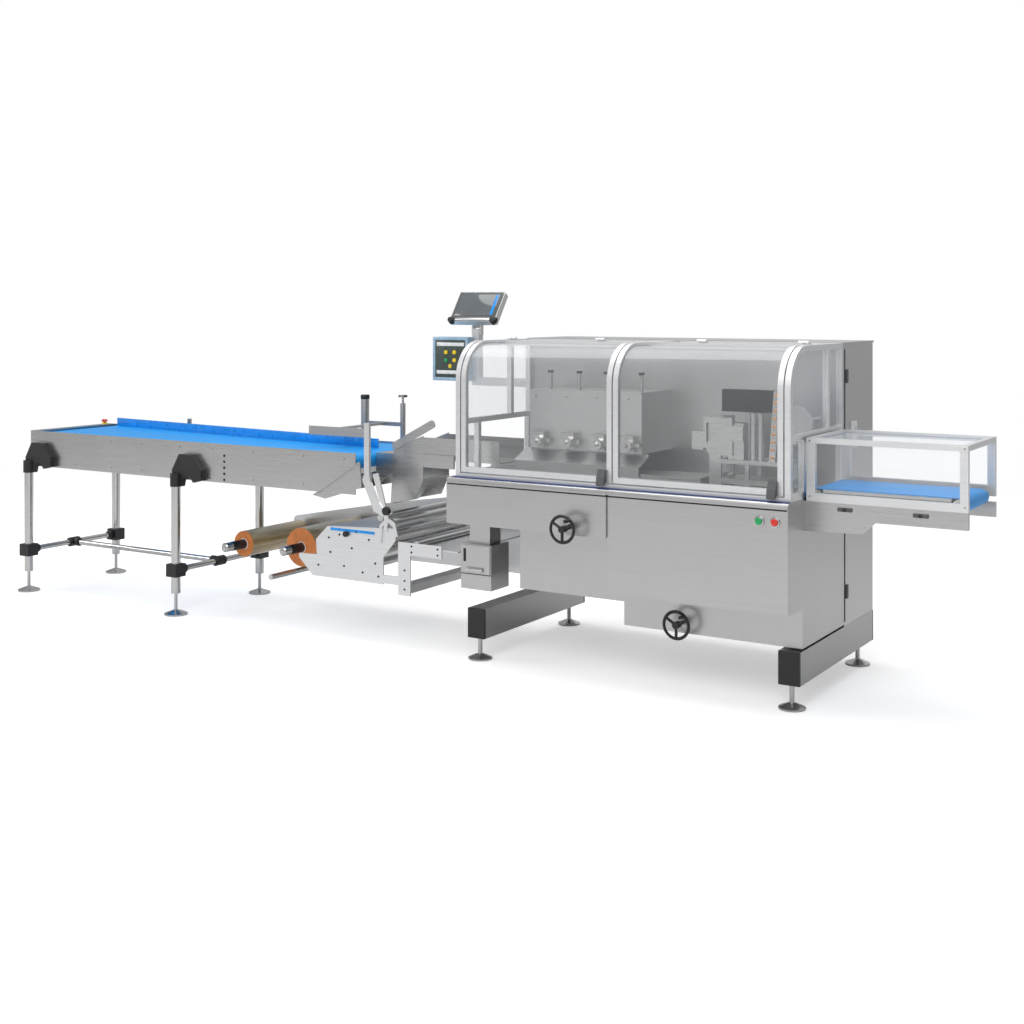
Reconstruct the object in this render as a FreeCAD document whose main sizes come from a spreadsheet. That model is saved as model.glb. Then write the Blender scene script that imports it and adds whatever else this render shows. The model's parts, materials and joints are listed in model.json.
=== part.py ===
import FreeCAD, Part
import math
import os
import Sketcher

# Horizontal flow wrapper: infeed conveyor, film carriage, sealing machine under a curved guard, outfeed
# conveyor.  Millimetres, +Z up.  X runs with the product from infeed to outfeed, Y from the operator to
# the back.  Sizes are measured from the middle of the four base feet, and every piece is then moved
# so that the origin lies on the floor below the middle of the whole line.

DRIVING_SIZES = {
    # base
    "foot_pitch_x": 1498, "foot_pitch_y": 820, "foot_radius": 55, "stem_radius": 10,
    "beam_width": 90, "beam_bottom": 100, "beam_top": 235, "beam_overhang": 36, "cap_thickness": 12,
    # cabinets
    "machine_right": 793, "deck_left": 825, "cabinet_left": 535, "rear_left": 800,
    "rear_front": 95, "rear_depth": 395, "rear_top": 1460, "cover_rim": 4, "front_plane": 572, "recess_plane": 410,
    "deck_top": 845, "deck_thickness": 22, "nose_radius": 18, "panel_thickness": 12, "panel_gap": 8,
    "door_bottom": 404, "drawer_bottom": 638, "left_bottom": 345, "right_bottom": 244,
    # guard
    "guard_left": 800, "guard_right": 790, "guard_front": 535, "guard_top": 1457, "guard_bend": 175,
    "rail": 24, "sill_height": 17, "lid_gap": 6, "hinge_line": 200, "pane": 4, "tunnel_top": 1080,
    "tunnel_front": 360, "tunnel_rear": 60, "end_rail": 1104, "hinge_radius": 7, "grip_width": 36,
    # sealing units
    "fin_left": 610, "fin_right": 30, "fin_front": 200, "fin_top": 1230, "fin_bottom": 956, "bed_rise": 36, "wheel_radius": 31,
    "wheel_level": 998, "jaw_left": 290, "jaw_right": 372, "jaw_front": 250, "jaw_rear": 100,
    "jaw_top": 1142, "lower_jaw_radius": 24, "upper_jaw_radius": 34, "table_level": 965,
    # outfeed
    "outfeed_right": 1436, "outfeed_front": 385, "outfeed_rear": 5, "outfeed_rise": 40,
    "outfeed_drum": 30, "outfeed_wall": 8, "outfeed_drop": 10, "tunnel_height": 254, "wall_overhang": 16, "outfeed_bar": 22,
    "outfeed_back": 66, "belt_thickness": 3, "belt_edge": 11,
    # infeed
    "infeed_left": 3793, "infeed_end": 1440, "infeed_front": 455, "infeed_rear": 115,
    "infeed_bottom": 705, "infeed_top": 905, "infeed_wall": 4, "infeed_level": 897, "infeed_drum": 38,
    "leg_left": 3765, "leg_pitch": 1160, "leg_radius": 24, "leg_stand_off": 36, "leg_base": 112,
    "cross_radius": 15, "cross_level": 233, "clamp_height": 66, "infeed_foot_radius": 60,
    "fence_height": 45, "fence_angle": 6,
    # film carriage
    "back_plate": 250, "back_plate_thickness": 12, "reel_left_x": 2350, "reel_left_z": 358,
    "reel_left_radius": 68, "reel_right_x": 1953, "reel_right_z": 376, "reel_right_radius": 100,
    "core_radius": 24, "reel_front": 250, "film_width": 450, "shaft_front": 400,
    "carriage_front": 450, "carriage_wall": 6, "roller_radius": 24, "line_centre": 190, "throat_half": 110,
    # operator panel
    "post_x": 1134, "post_y": 150, "post_side": 40, "arm_bottom": 1215, "post_top": 1500,
    "panel_width": 275, "panel_length": 183, "panel_depth": 34, "panel_tilt": 55, "panel_stand_off": 26,
    # handwheels
    "handwheel_radius": 56, "rim_radius": 7, "upper_wheel_x": 187, "upper_wheel_z": 670,
    "lower_wheel_x": 267, "lower_wheel_z": 288, "wheel_stand_off": 62, "grip_length": 38,
    # fits
    "fit": 0.3,
}

document = FreeCAD.newDocument("flow_wrapper")
sheet = document.addObject("Spreadsheet::Sheet", "Sizes")


class Size:
    """A length or angle that carries its value and the spreadsheet expression it comes from."""

    def __init__(self, value, text):
        self.value = value
        self.text = text

    def __add__(self, other):
        other = as_size(other)
        return Size(self.value + other.value, f"({self.text} + {other.text})")

    def __sub__(self, other):
        other = as_size(other)
        return Size(self.value - other.value, f"({self.text} - {other.text})")

    def __mul__(self, other):
        other = as_size(other)
        return Size(self.value * other.value, f"({self.text} * {other.text})")

    def __truediv__(self, other):
        other = as_size(other)
        return Size(self.value / other.value, f"({self.text} / {other.text})")

    def __radd__(self, other):
        return as_size(other) + self

    def __rsub__(self, other):
        return as_size(other) - self

    def __rmul__(self, other):
        return as_size(other) * self

    def __neg__(self):
        return Size(-self.value, f"(0 - {self.text})")


def as_size(number):
    return number if isinstance(number, Size) else Size(float(number), repr(float(number)))


class Sizes:
    """The driving sizes, one attribute for each alias of the spreadsheet."""

    def __init__(self, values):
        for row, (alias, value) in enumerate(values.items(), start=1):
            sheet.set(f"A{row}", alias)
            sheet.set(f"B{row}", str(value))
            sheet.setAlias(f"B{row}", alias)
            setattr(self, alias, Size(float(value), f"Sizes.{alias}"))


s = Sizes(DRIVING_SIZES)
document.recompute()

# The origin stands below the middle of the line's box.  The box ends at the left infeed feet, the
# outfeed's rear side plate, the upper handwheel's grip and the rim of the rear cabinet's cover.
LEFT_REACH = s.leg_left + s.infeed_foot_radius
RIGHT_REACH = s.outfeed_right + s.wall_overhang
FRONT_REACH = s.front_plane + s.wheel_stand_off + s.grip_length
REAR_REACH = s.rear_front + s.rear_depth + s.cover_rim
ORIGIN_X = (LEFT_REACH - RIGHT_REACH) / 2
ORIGIN_Y = (FRONT_REACH - REAR_REACH) / 2

TURN = {
    "X": FreeCAD.Rotation(FreeCAD.Vector(0, 1, 0), 90),
    "Y": FreeCAD.Rotation(FreeCAD.Vector(1, 0, 0), -90),
    "Z": FreeCAD.Rotation(),
}
nodes = []


# ---- helpers -------------------------------------------------------------------------------------


def node(name, feature):
    """Names a finished sub-part, so that it gets a STEP file of its own."""
    feature.Label = name
    nodes.append(feature)
    return feature


def bind(feature, prop, length):
    feature.setExpression(prop, as_size(length).text)


def put(feature, x, y, z, rotation=FreeCAD.Rotation()):
    """Places a feature by line coordinates, moved to the model's origin."""
    x, y, z = as_size(x) + ORIGIN_X, as_size(y) + ORIGIN_Y, as_size(z)
    feature.Placement = FreeCAD.Placement(FreeCAD.Vector(x.value, y.value, z.value), rotation)
    for axis, length in zip("xyz", (x, y, z)):
        feature.setExpression(f".Placement.Base.{axis}", length.text)
    return feature


def block(name, x, y, z):
    """A box given by its span along each axis."""
    feature = document.addObject("Part::Box", name)
    for prop, (low, high) in zip(("Length", "Width", "Height"), (x, y, z)):
        bind(feature, prop, as_size(high) - low)
    return put(feature, x[0], y[0], z[0])


def rod(name, axis, start, length, radius):
    """A round bar from its start point along an axis."""
    feature = document.addObject("Part::Cylinder", name)
    bind(feature, "Radius", radius)
    bind(feature, "Height", length)
    return put(feature, *start, TURN[axis])


def stud(name, axis, start, length, radius, sides=12):
    """A small turned detail that repeats, with its round drawn as a many-sided prism."""
    feature = document.addObject("Part::Prism", name)
    feature.Polygon = sides
    bind(feature, "Circumradius", radius)
    bind(feature, "Height", length)
    return put(feature, *start, TURN[axis])


def union(name, pieces):
    feature = document.addObject("Part::MultiFuse", name)
    feature.Shapes = pieces
    feature.Refine = True
    return feature


def less(name, base, tool):
    feature = document.addObject("Part::Cut", name)
    feature.Base = base
    feature.Tool = tool
    return feature


def group(name, pieces):
    """Like pieces that don't touch, kept as separate solids of one sub-part."""
    feature = document.addObject("Part::Compound", name)
    feature.Links = pieces
    return feature


def tube(name, axis, start, length, radius, bore):
    outer = rod(f"{name}_outer", axis, start, length, radius)
    inner = rod(f"{name}_bore", axis, start, length, bore)
    return less(name, outer, inner)


def new_sketch(body, name, plane):
    sketch = body.newObject("Sketcher::SketchObject", name)
    support = next(o for o in body.Origin.OriginFeatures if o.Role == f"{plane}_Plane")
    sketch.AttachmentSupport = [(support, "")]
    sketch.MapMode = "FlatFace"
    return sketch


def hold(sketch, kind, *where, length):
    """Adds a dimension and binds it to its expression."""
    index = sketch.addConstraint(Sketcher.Constraint(kind, *where, as_size(length).value))
    sketch.setExpression(f"Constraints[{index}]", as_size(length).text)


def fix_point(sketch, geometry, position, x, y):
    hold(sketch, "DistanceX", -1, 1, geometry, position, length=x)
    hold(sketch, "DistanceY", -1, 1, geometry, position, length=y)


def unit(start, end):
    """The direction from one point to another, and whether it runs along an axis."""
    along = (end - start).normalize()
    return along, min(abs(along.x), abs(along.y)) < 1e-9


def corner_arc(before, corner, after, radius):
    """The ends of the arc that rounds a corner, as offsets from the corner, and its centre."""
    to_before, straight_before = unit(corner, before)
    to_after, straight_after = unit(corner, after)
    half = to_before.getAngle(to_after) / 2
    size = as_size(radius)
    square = straight_before and straight_after
    reach = size if square else as_size(size.value / math.tan(half))
    start = (reach * to_before.x, reach * to_before.y)
    end = (reach * to_after.x, reach * to_after.y)
    middle = (to_before + to_after).normalize()
    centre = corner + middle * (size.value / math.sin(half))
    return start, centre, end


def round_corner(sketch, centre, start, end, radius):
    """Draws the arc anticlockwise, and says which of its ends lies at start."""
    first = 1 if (start - centre).cross(end - centre).z > 0 else 2
    order = (start, end) if first == 1 else (end, start)
    low, high = (math.atan2(point.y - centre.y, point.x - centre.x) for point in order)
    if high < low:
        high += 2 * math.pi
    circle = Part.Circle(centre, FreeCAD.Vector(0, 0, 1), as_size(radius).value)
    return sketch.addGeometry(Part.ArcOfCircle(circle, low, high), False), first


def draw_outline(sketch, corners):
    """A closed outline of (x, y) corners; a third number rounds the corner to that radius."""
    points = [FreeCAD.Vector(as_size(c[0]).value, as_size(c[1]).value, 0) for c in corners]
    ends = []
    for index, corner in enumerate(corners):
        x, y = as_size(corner[0]), as_size(corner[1])
        if len(corner) < 3:
            ends.append(((x, y), None, (x, y)))
            continue
        after = points[(index + 1) % len(points)]
        start, centre, end = corner_arc(points[index - 1], points[index], after, corner[2])
        ends.append(((x + start[0], y + start[1]), centre, (x + end[0], y + end[1])))
    lines = []
    for index in range(len(corners)):
        start, end = ends[index][2], ends[(index + 1) % len(corners)][0]
        places = [FreeCAD.Vector(x.value, y.value, 0) for x, y in (start, end)]
        lines.append(sketch.addGeometry(Part.LineSegment(*places), False))
        fix_point(sketch, lines[-1], 1, *start)
    for index, (start, centre, end) in enumerate(ends):
        before, after = lines[index - 1], lines[index]
        if centre is None:
            sketch.addConstraint(Sketcher.Constraint("Coincident", before, 2, after, 1))
            continue
        places = [FreeCAD.Vector(x.value, y.value, 0) for x, y in (start, end)]
        fix_point(sketch, before, 2, *start)
        arc, first = round_corner(sketch, centre, *places, corners[index][2])
        sketch.addConstraint(Sketcher.Constraint("Coincident", before, 2, arc, first))
        sketch.addConstraint(Sketcher.Constraint("Coincident", arc, 3 - first, after, 1))
        hold(sketch, "Radius", arc, length=corners[index][2])


def draw_circle(sketch, x, y, radius):
    centre = FreeCAD.Vector(as_size(x).value, as_size(y).value, 0)
    normal = FreeCAD.Vector(0, 0, 1)
    circle = sketch.addGeometry(Part.Circle(centre, normal, as_size(radius).value), False)
    fix_point(sketch, circle, 3, x, y)
    hold(sketch, "Radius", circle, length=radius)


def pad_body(name, plane, start, thickness):
    """A body whose pad grows along +X, +Y or +Z from start, and its empty sketch."""
    body = document.addObject("PartDesign::Body", name)
    sketch = new_sketch(body, f"{name}_outline", plane)
    places = {"XZ": (0, start, 0), "YZ": (start, 0, 0), "XY": (0, 0, start)}
    put(body, *places[plane])
    pad = body.newObject("PartDesign::Pad", f"{name}_pad")
    pad.Profile = sketch
    pad.Reversed = plane == "XZ"
    bind(pad, "Length", thickness)
    return body, sketch


def plate(name, plane, corners, start, thickness, circles=(), cutouts=()):
    """A flat piece: an outline with round holes and shaped cut-outs, padded to its thickness."""
    body, sketch = pad_body(name, plane, start, thickness)
    draw_outline(sketch, corners)
    for cutout in cutouts:
        draw_outline(sketch, cutout)
    for x, y, radius in circles:
        draw_circle(sketch, x, y, radius)
    return body


def stadium(name, x, y, level, radius):
    """A solid with two half-round ends about the drum centres x[0] and x[1]."""
    width = as_size(y[1]) - y[0]
    middle = block(f"{name}_middle", x, y, (level - radius, level + radius))
    ends = [rod(f"{name}_end_{i}", "Y", (x[i], y[0], level), width, radius) for i in range(2)]
    return union(name, [middle, *ends])


def belt(name, x, y, level, drum):
    """A belt loop over two end drums, with its carrying side at level."""
    centres = (as_size(x[0]) + drum, as_size(x[1]) - drum)
    outer = stadium(f"{name}_outer", centres, y, level - drum, drum)
    inner = stadium(f"{name}_inner", centres, y, level - drum, drum - s.belt_thickness)
    return less(name, outer, inner)


def turned(name, place, corners, rotation=FreeCAD.Rotation()):
    """A turned piece: an outline of (radius, height) corners revolved about its own axis."""
    body = document.addObject("PartDesign::Body", name)
    sketch = new_sketch(body, f"{name}_outline", "XZ")
    draw_outline(sketch, corners)
    revolution = body.newObject("PartDesign::Revolution", f"{name}_turn")
    revolution.Profile = sketch
    revolution.ReferenceAxis = (sketch, ["V_Axis"])
    revolution.Angle = 360
    return put(body, *place, rotation)


def rectangle(x, y, radius=None):
    corners = [(x[0], y[0]), (x[1], y[0]), (x[1], y[1]), (x[0], y[1])]
    return [(*corner, radius) for corner in corners] if radius is not None else corners


# ---- base ----------------------------------------------------------------------------------------

BEAM_FRONT = -(s.foot_pitch_y / 2 + s.beam_overhang)
BEAM_REAR = s.rear_front + s.rear_depth + 4
SIDES = {"left": -1, "right": 1}


def foot(name, x, y, radius, top, stem):
    """A levelling foot: a coned plate that narrows into the stem under what it carries."""
    profile = [(0, 0), (radius, 0), (radius, 8), (stem * 1.5, 25), (0, 25)]
    pad = turned(f"{name}_pad", (x, y, 0), profile)
    return union(name, [pad, stud(f"{name}_stem", "Z", (x, y, 20), top - 20, stem)])


def base():
    half = s.beam_width / 2
    beams, caps, feet = [], [], []
    for side, sign in SIDES.items():
        middle = sign * s.foot_pitch_x / 2
        span = (middle - half, middle + half)
        height = (s.beam_bottom, s.beam_top)
        run = (BEAM_FRONT + s.cap_thickness, BEAM_REAR - s.cap_thickness)
        beams.append(block(f"beam_{side}", span, run, height))
        for end, start in (("front", BEAM_FRONT), ("rear", BEAM_REAR - s.cap_thickness)):
            outline = rectangle(span, height)
            caps.append(plate(f"cap_{side}_{end}", "XZ", outline, start, s.cap_thickness))
        for end, way in (("front", -1), ("rear", 1)):
            y = way * s.foot_pitch_y / 2
            feet.append(foot(f"foot_{side}_{end}", middle, y, s.foot_radius, s.beam_bottom, s.stem_radius))
    node("base_beams", group("base_beams", beams))
    node("beam_end_caps", group("beam_end_caps", caps))
    return feet


# ---- cabinets ------------------------------------------------------------------------------------

DECK_BASE = s.deck_top - s.deck_thickness
PANEL_BACK = -s.front_plane + s.panel_thickness
SPLIT = -s.panel_gap


def cabinets():
    behind = -s.recess_plane
    stepped = [
        (-s.cabinet_left, s.left_bottom), (SPLIT, s.left_bottom), (SPLIT, s.right_bottom),
        (s.machine_right, s.right_bottom), (s.machine_right, DECK_BASE), (SPLIT, DECK_BASE),
        (SPLIT, s.drawer_bottom), (-s.cabinet_left, s.drawer_bottom),
    ]
    lower = plate("lower_box", "XZ", stepped, behind, s.rear_front + s.recess_plane)
    bulge = block("door_box", (SPLIT, s.machine_right), (PANEL_BACK, behind), (s.door_bottom, DECK_BASE))
    rear = (s.rear_front, s.rear_front + s.rear_depth)
    shell = block("rear_box", (-s.rear_left, s.machine_right), rear, (s.beam_top, s.rear_top - 8))
    rim = s.cover_rim
    lid_span = (-s.rear_left - rim, s.machine_right + rim)
    cover = block("rear_cover", lid_span, (rear[0], rear[1] + rim), (s.rear_top - 8, s.rear_top))
    node("rear_cabinet", union("rear_cabinet", [shell, cover]))
    left_span = (-s.deck_left, SPLIT)
    left_box = block("left_housing", left_span, (PANEL_BACK, s.rear_front), (s.drawer_bottom, DECK_BASE))
    node("lower_cabinet", union("lower_cabinet", [lower, bulge, left_box]))
    height = (s.drawer_bottom, DECK_BASE)
    drawer = rectangle((-s.deck_left, SPLIT - 3), height, 6)
    door = rectangle((as_size(0), s.machine_right), (s.door_bottom, DECK_BASE), 6)
    outlines = {"drawer_front": drawer, "front_door": door}
    fronts = [plate(n, "XZ", o, -s.front_plane, s.panel_thickness) for n, o in outlines.items()]
    node("front_panels", group("front_panels", fronts))
    top = [
        (-s.front_plane, DECK_BASE), (s.rear_front, DECK_BASE), (s.rear_front, s.deck_top),
        (-s.front_plane, s.deck_top, s.nose_radius),
    ]
    node("deck", plate("deck", "YZ", top, -s.deck_left, s.deck_left + s.machine_right))


# ---- guard ---------------------------------------------------------------------------------------

SILL_TOP = s.deck_top + s.sill_height
FRONT = -s.guard_front
LID_REAR = -s.hinge_line - s.lid_gap
HINGE_Y = -s.hinge_line - s.lid_gap / 2
HINGE_Z = s.guard_top + s.hinge_radius + 1
INNER_BEND = s.guard_bend - s.rail


def end_frame(name, start):
    """An end wall of the guard: a bent outer bar, a rail over the tunnel and two window posts."""
    top, inner_top = s.guard_top, s.guard_top - s.rail
    inner_front, inner_rear = FRONT + s.rail, s.rear_front - s.rail
    outline = [
        (FRONT, s.deck_top), (s.rear_front, s.deck_top), (s.rear_front, top), (FRONT, top, s.guard_bend),
    ]
    post = -s.tunnel_front - s.rail
    middle = -s.hinge_line / 2
    openings = [
        rectangle((-s.tunnel_front, s.tunnel_rear), (SILL_TOP, s.tunnel_top)),
        rectangle((inner_front, post), (SILL_TOP + 8, s.tunnel_top)),
        [
            (inner_front, s.end_rail), (middle, s.end_rail), (middle, inner_top),
            (inner_front, inner_top, INNER_BEND),
        ],
        rectangle((middle + s.rail, inner_rear), (s.end_rail, inner_top)),
    ]
    return plate(name, "YZ", outline, start, s.rail, cutouts=openings), openings[1:]


def guard_frame():
    left, right = -s.guard_left, s.guard_right
    inside = (left + s.rail, right - s.rail)
    sill = block("guard_sill", inside, (FRONT, FRONT + s.rail + 6), (s.deck_top, SILL_TOP))
    panes, ends = [], []
    for name, start in (("end_frame_left", left), ("end_frame_right", inside[1])):
        frame, openings = end_frame(name, start)
        ends.append(frame)
        for index, opening in enumerate(openings):
            middle = start + (s.rail - s.pane) / 2
            panes.append(plate(f"{name}_pane_{index}", "YZ", opening, middle, s.pane))
    height = (s.guard_top - s.rail, s.guard_top)
    y_bars = ((-s.hinge_line, -s.hinge_line + s.rail), (s.rear_front - s.rail, s.rear_front))
    bars = [block(f"top_bar_{i}", inside, span, height) for i, span in enumerate(y_bars)]
    between = (y_bars[0][1], y_bars[1][0])
    middle_bar = block("top_bar_middle", (-s.rail, s.rail), between, height)
    for x in HINGES.values():
        bars.append(hinge_half(f"fixed_hinge_{round(x.value)}", x, fixed=True))
    node("guard_end_frames", group("guard_end_frames", ends))
    node("guard_rails", group("guard_rails", [sill, union("top_frame", [*bars, middle_bar])]))
    pane_height = (s.guard_top - s.rail / 2, s.guard_top - s.rail / 2 + s.pane)
    panes.append(block("roof_left", (inside[0], -s.rail), between, pane_height))
    panes.append(block("roof_right", (s.rail, inside[1]), between, pane_height))
    return panes


HINGES = {
    "left_outer": as_size(-706), "left_inner": as_size(-236),
    "right_inner": as_size(262), "right_outer": as_size(722),
}
HINGE_PLAY = 0.4
KNUCKLE = 22
LEAF = 24


def hinge_half(name, x, fixed):
    """A leaf and knuckle: the fixed one on the top bar, the moving one on the lid."""
    shift = HINGE_PLAY if fixed else -KNUCKLE - HINGE_PLAY
    span = (x + shift, x + shift + KNUCKLE)
    if fixed:
        reach = (HINGE_Y, -s.hinge_line + LEAF)
    else:
        reach = (LID_REAR - LEAF, HINGE_Y)
    leaf = block(f"{name}_leaf", span, reach, (s.guard_top, s.guard_top + 4))
    knuckle = stud(f"{name}_knuckle", "X", (span[0], HINGE_Y, HINGE_Z), KNUCKLE, s.hinge_radius)
    return union(name, [leaf, knuckle])


def lid(side, span, hinges):
    """A lid: two bent arches, joined by a front rail and a rear rail, round one bent clear pane."""
    name = f"lid_{side}"
    low = SILL_TOP + s.lid_gap
    top, inner_top = s.guard_top, s.guard_top - s.rail
    arch = [
        (FRONT, low), (FRONT + s.rail, low), (FRONT + s.rail, inner_top, INNER_BEND),
        (LID_REAR, inner_top), (LID_REAR, top), (FRONT, top, s.guard_bend),
    ]
    arches = [
        plate(f"{name}_arch_low", "YZ", arch, span[0], s.rail),
        plate(f"{name}_arch_high", "YZ", arch, span[1] - s.rail, s.rail),
    ]
    inside = (span[0] + s.rail, span[1] - s.rail)
    front_rail = block(f"{name}_front", inside, (FRONT, FRONT + s.rail), (low, low + s.rail))
    rear_rail = block(f"{name}_rear", inside, (LID_REAR - s.rail, LID_REAR), (inner_top, top))
    leaves = [hinge_half(f"{name}_{where}", HINGES[where], fixed=False) for where in hinges]
    node(f"{name}_frame", union(f"{name}_frame", [*arches, front_rail, rear_rail, *leaves]))
    step = (s.rail - s.pane) / 2
    out, back = FRONT + step, FRONT + step + s.pane
    high, under = top - step, top - step - s.pane
    sheet_band = [
        (out, low + s.rail), (back, low + s.rail), (back, under, s.guard_bend - step - s.pane),
        (LID_REAR - s.rail, under), (LID_REAR - s.rail, high), (out, high, s.guard_bend - step),
    ]
    node(f"{name}_window", plate(f"{name}_window", "YZ", sheet_band, inside[0], inside[1] - inside[0]))
    grip = [
        (FRONT, low), (FRONT, low + 52), (FRONT - 10, low + 56), (FRONT - 26, low + 24, 6),
        (FRONT - 30, low - 12, 4), (FRONT - 22, low - 14, 3), (FRONT - 12, low),
    ]
    start = span[1] - s.rail - s.grip_width
    node(f"{name}_grip", plate(f"{name}_grip", "YZ", grip, start, s.grip_width))


def lids():
    left, right = -s.guard_left + s.rail + s.lid_gap, s.guard_right - s.rail - s.lid_gap
    lid("left", (left, -s.lid_gap / 2), ("left_outer", "left_inner"))
    lid("right", (s.lid_gap / 2, right), ("right_inner", "right_outer"))


# ---- sealing units under the guard ---------------------------------------------------------------


def fin_seal():
    """The drive housing with its drip tray and the four wheels that draw and seal the fin."""
    front = -s.fin_front
    span = (-s.fin_left, -s.fin_right)
    housing = block("fin_box", span, (front, s.rear_front), (s.fin_bottom, s.fin_top))
    lip = front - 92
    tray = [
        (front + 6, s.fin_bottom), (front, s.fin_bottom - 8), (lip, 908), (lip, s.deck_top),
        (lip + 5, s.deck_top), (lip + 5, 904), (front + 12, s.fin_bottom - 12), (front + 12, s.fin_bottom),
    ]
    tray_plate = plate("fin_tray", "YZ", tray, span[0] - 30, s.fin_left - s.fin_right + 60)
    node("fin_seal_housing", union("fin_seal_housing", [housing, tray_plate]))
    wheels = []
    for index, x in enumerate((-545, -388, -232, -84)):
        place = (x - 34, x + 34)
        height = (s.wheel_level - 30, s.wheel_level + 40)
        carrier = block(f"wheel_carrier_{index}", place, (front - 44, front), height)
        hub = rod(f"wheel_{index}", "Y", (x, front - 62, s.wheel_level), 18, s.wheel_radius)
        nut = stud(f"wheel_nut_{index}", "Y", (x, front - 74, s.wheel_level), 12, 12, sides=6)
        link = block(f"wheel_link_{index}", (x + 34, x + 58), (front - 34, front), (990, 1008))
        wheels.append(union(f"wheel_unit_{index}", [carrier, hub, nut, link]))
    node("fin_seal_wheels", group("fin_seal_wheels", wheels))


def jaw_unit():
    """The end-sealing station: two cheek plates, the crimp jaws between them and a long table."""
    front, rear = -s.jaw_front, -s.jaw_rear
    span = (s.jaw_left, s.jaw_right)
    slot = rectangle((s.jaw_left + 14, s.jaw_left + 30), (1030, 1120), 7)
    lower_cut = [(s.jaw_left, s.deck_top), (s.jaw_left + 28, s.deck_top), (s.jaw_left + 28, 1004)]
    outline = [
        lower_cut[1], (s.jaw_right, s.deck_top), (s.jaw_right, s.jaw_top), (s.jaw_left, s.jaw_top),
        (s.jaw_left, 1012), lower_cut[2],
    ]
    cheeks = [
        plate("cheek_front", "XZ", outline, front, 14, cutouts=[slot]),
        plate("cheek_rear", "XZ", outline, rear - 14, 14, cutouts=[slot]),
    ]
    step, edge = s.jaw_right + 50, s.jaw_right + 99
    arm = [
        (s.jaw_right, 980), (step, 980), (step, 1042), (edge, 1042), (edge, 1107), (step, 1107),
        (step, s.jaw_top), (s.jaw_right, s.jaw_top),
    ]
    cheeks.append(plate("jaw_arm", "XZ", arm, front, 12))
    cheeks.append(block("guide_cheek", (s.jaw_left - 54, s.jaw_left), (front, front + 12), (1000, 1078)))
    table_span = (s.jaw_right, 660)
    for level, height in ((s.table_level, 18), (as_size(884), 22)):
        depth = (front, rear)
        cheeks.append(block(f"table_{round(level.value)}", table_span, depth, (level - height, level)))
    for index, x in enumerate((642, 480)):
        for side, y in (("front", front), ("rear", rear - 12)):
            leg = ((x, x + 18), (y, y + 12), (s.deck_top, s.table_level - 18))
            cheeks.append(block(f"table_leg_{index}_{side}", *leg))
    bed_y = (-s.fin_front - 80, -s.jaw_rear)
    bed_x = (-s.guard_left + s.rail, s.jaw_left)
    cheeks.append(block("product_bed", bed_x, bed_y, (s.deck_top, s.deck_top + s.bed_rise)))
    cheeks.append(block("jaw_bridge", span, (front + 14, rear - 14), (s.jaw_top - 16, s.jaw_top)))
    node("jaw_frame", union("jaw_frame", cheeks))
    middle = (s.jaw_left + s.jaw_right) / 2
    width = rear - 14 - front - 14
    jaws = []
    lower_level, upper_level = s.deck_top + s.lower_jaw_radius + 3, s.table_level + s.upper_jaw_radius + 10
    for name, level, radius in (
        ("lower", lower_level, s.lower_jaw_radius), ("upper", upper_level, s.upper_jaw_radius),
    ):
        jaws.append(rod(f"jaw_{name}", "Y", (middle, front + 14, level), width, radius))
    cylinders = []
    for index, x in enumerate((506, 540)):
        y = front + 30
        cylinders.append(rod(f"cylinder_{index}", "Z", (x, y, s.table_level), 199, 13))
    post = block("jaw_block", (400, 470), (front + 12, front + 60), (s.table_level, 1120))
    lean = [(584, s.table_level), (612, s.table_level), (634, 1262), (606, 1262)]
    column = plate("chain_column", "XZ", lean, front + 6, 24)
    disc = rod("jaw_disc", "Y", (668, front + 60, 1120), 18, 84)
    shaft = rod("jaw_disc_shaft", "Y", (668, front + 78, 1120), s.rear_front - front - 78, 14)
    node("jaw_cylinders", group("jaw_cylinders", [*cylinders, post, column]))
    node("crimp_jaws", group("crimp_jaws", [*jaws, union("jaw_drive", [disc, shaft])]))


# ---- outfeed -------------------------------------------------------------------------------------


OUTFEED_LEVEL = s.deck_top + s.outfeed_rise
OUTFEED_BASE = s.deck_top - s.outfeed_drop


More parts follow.
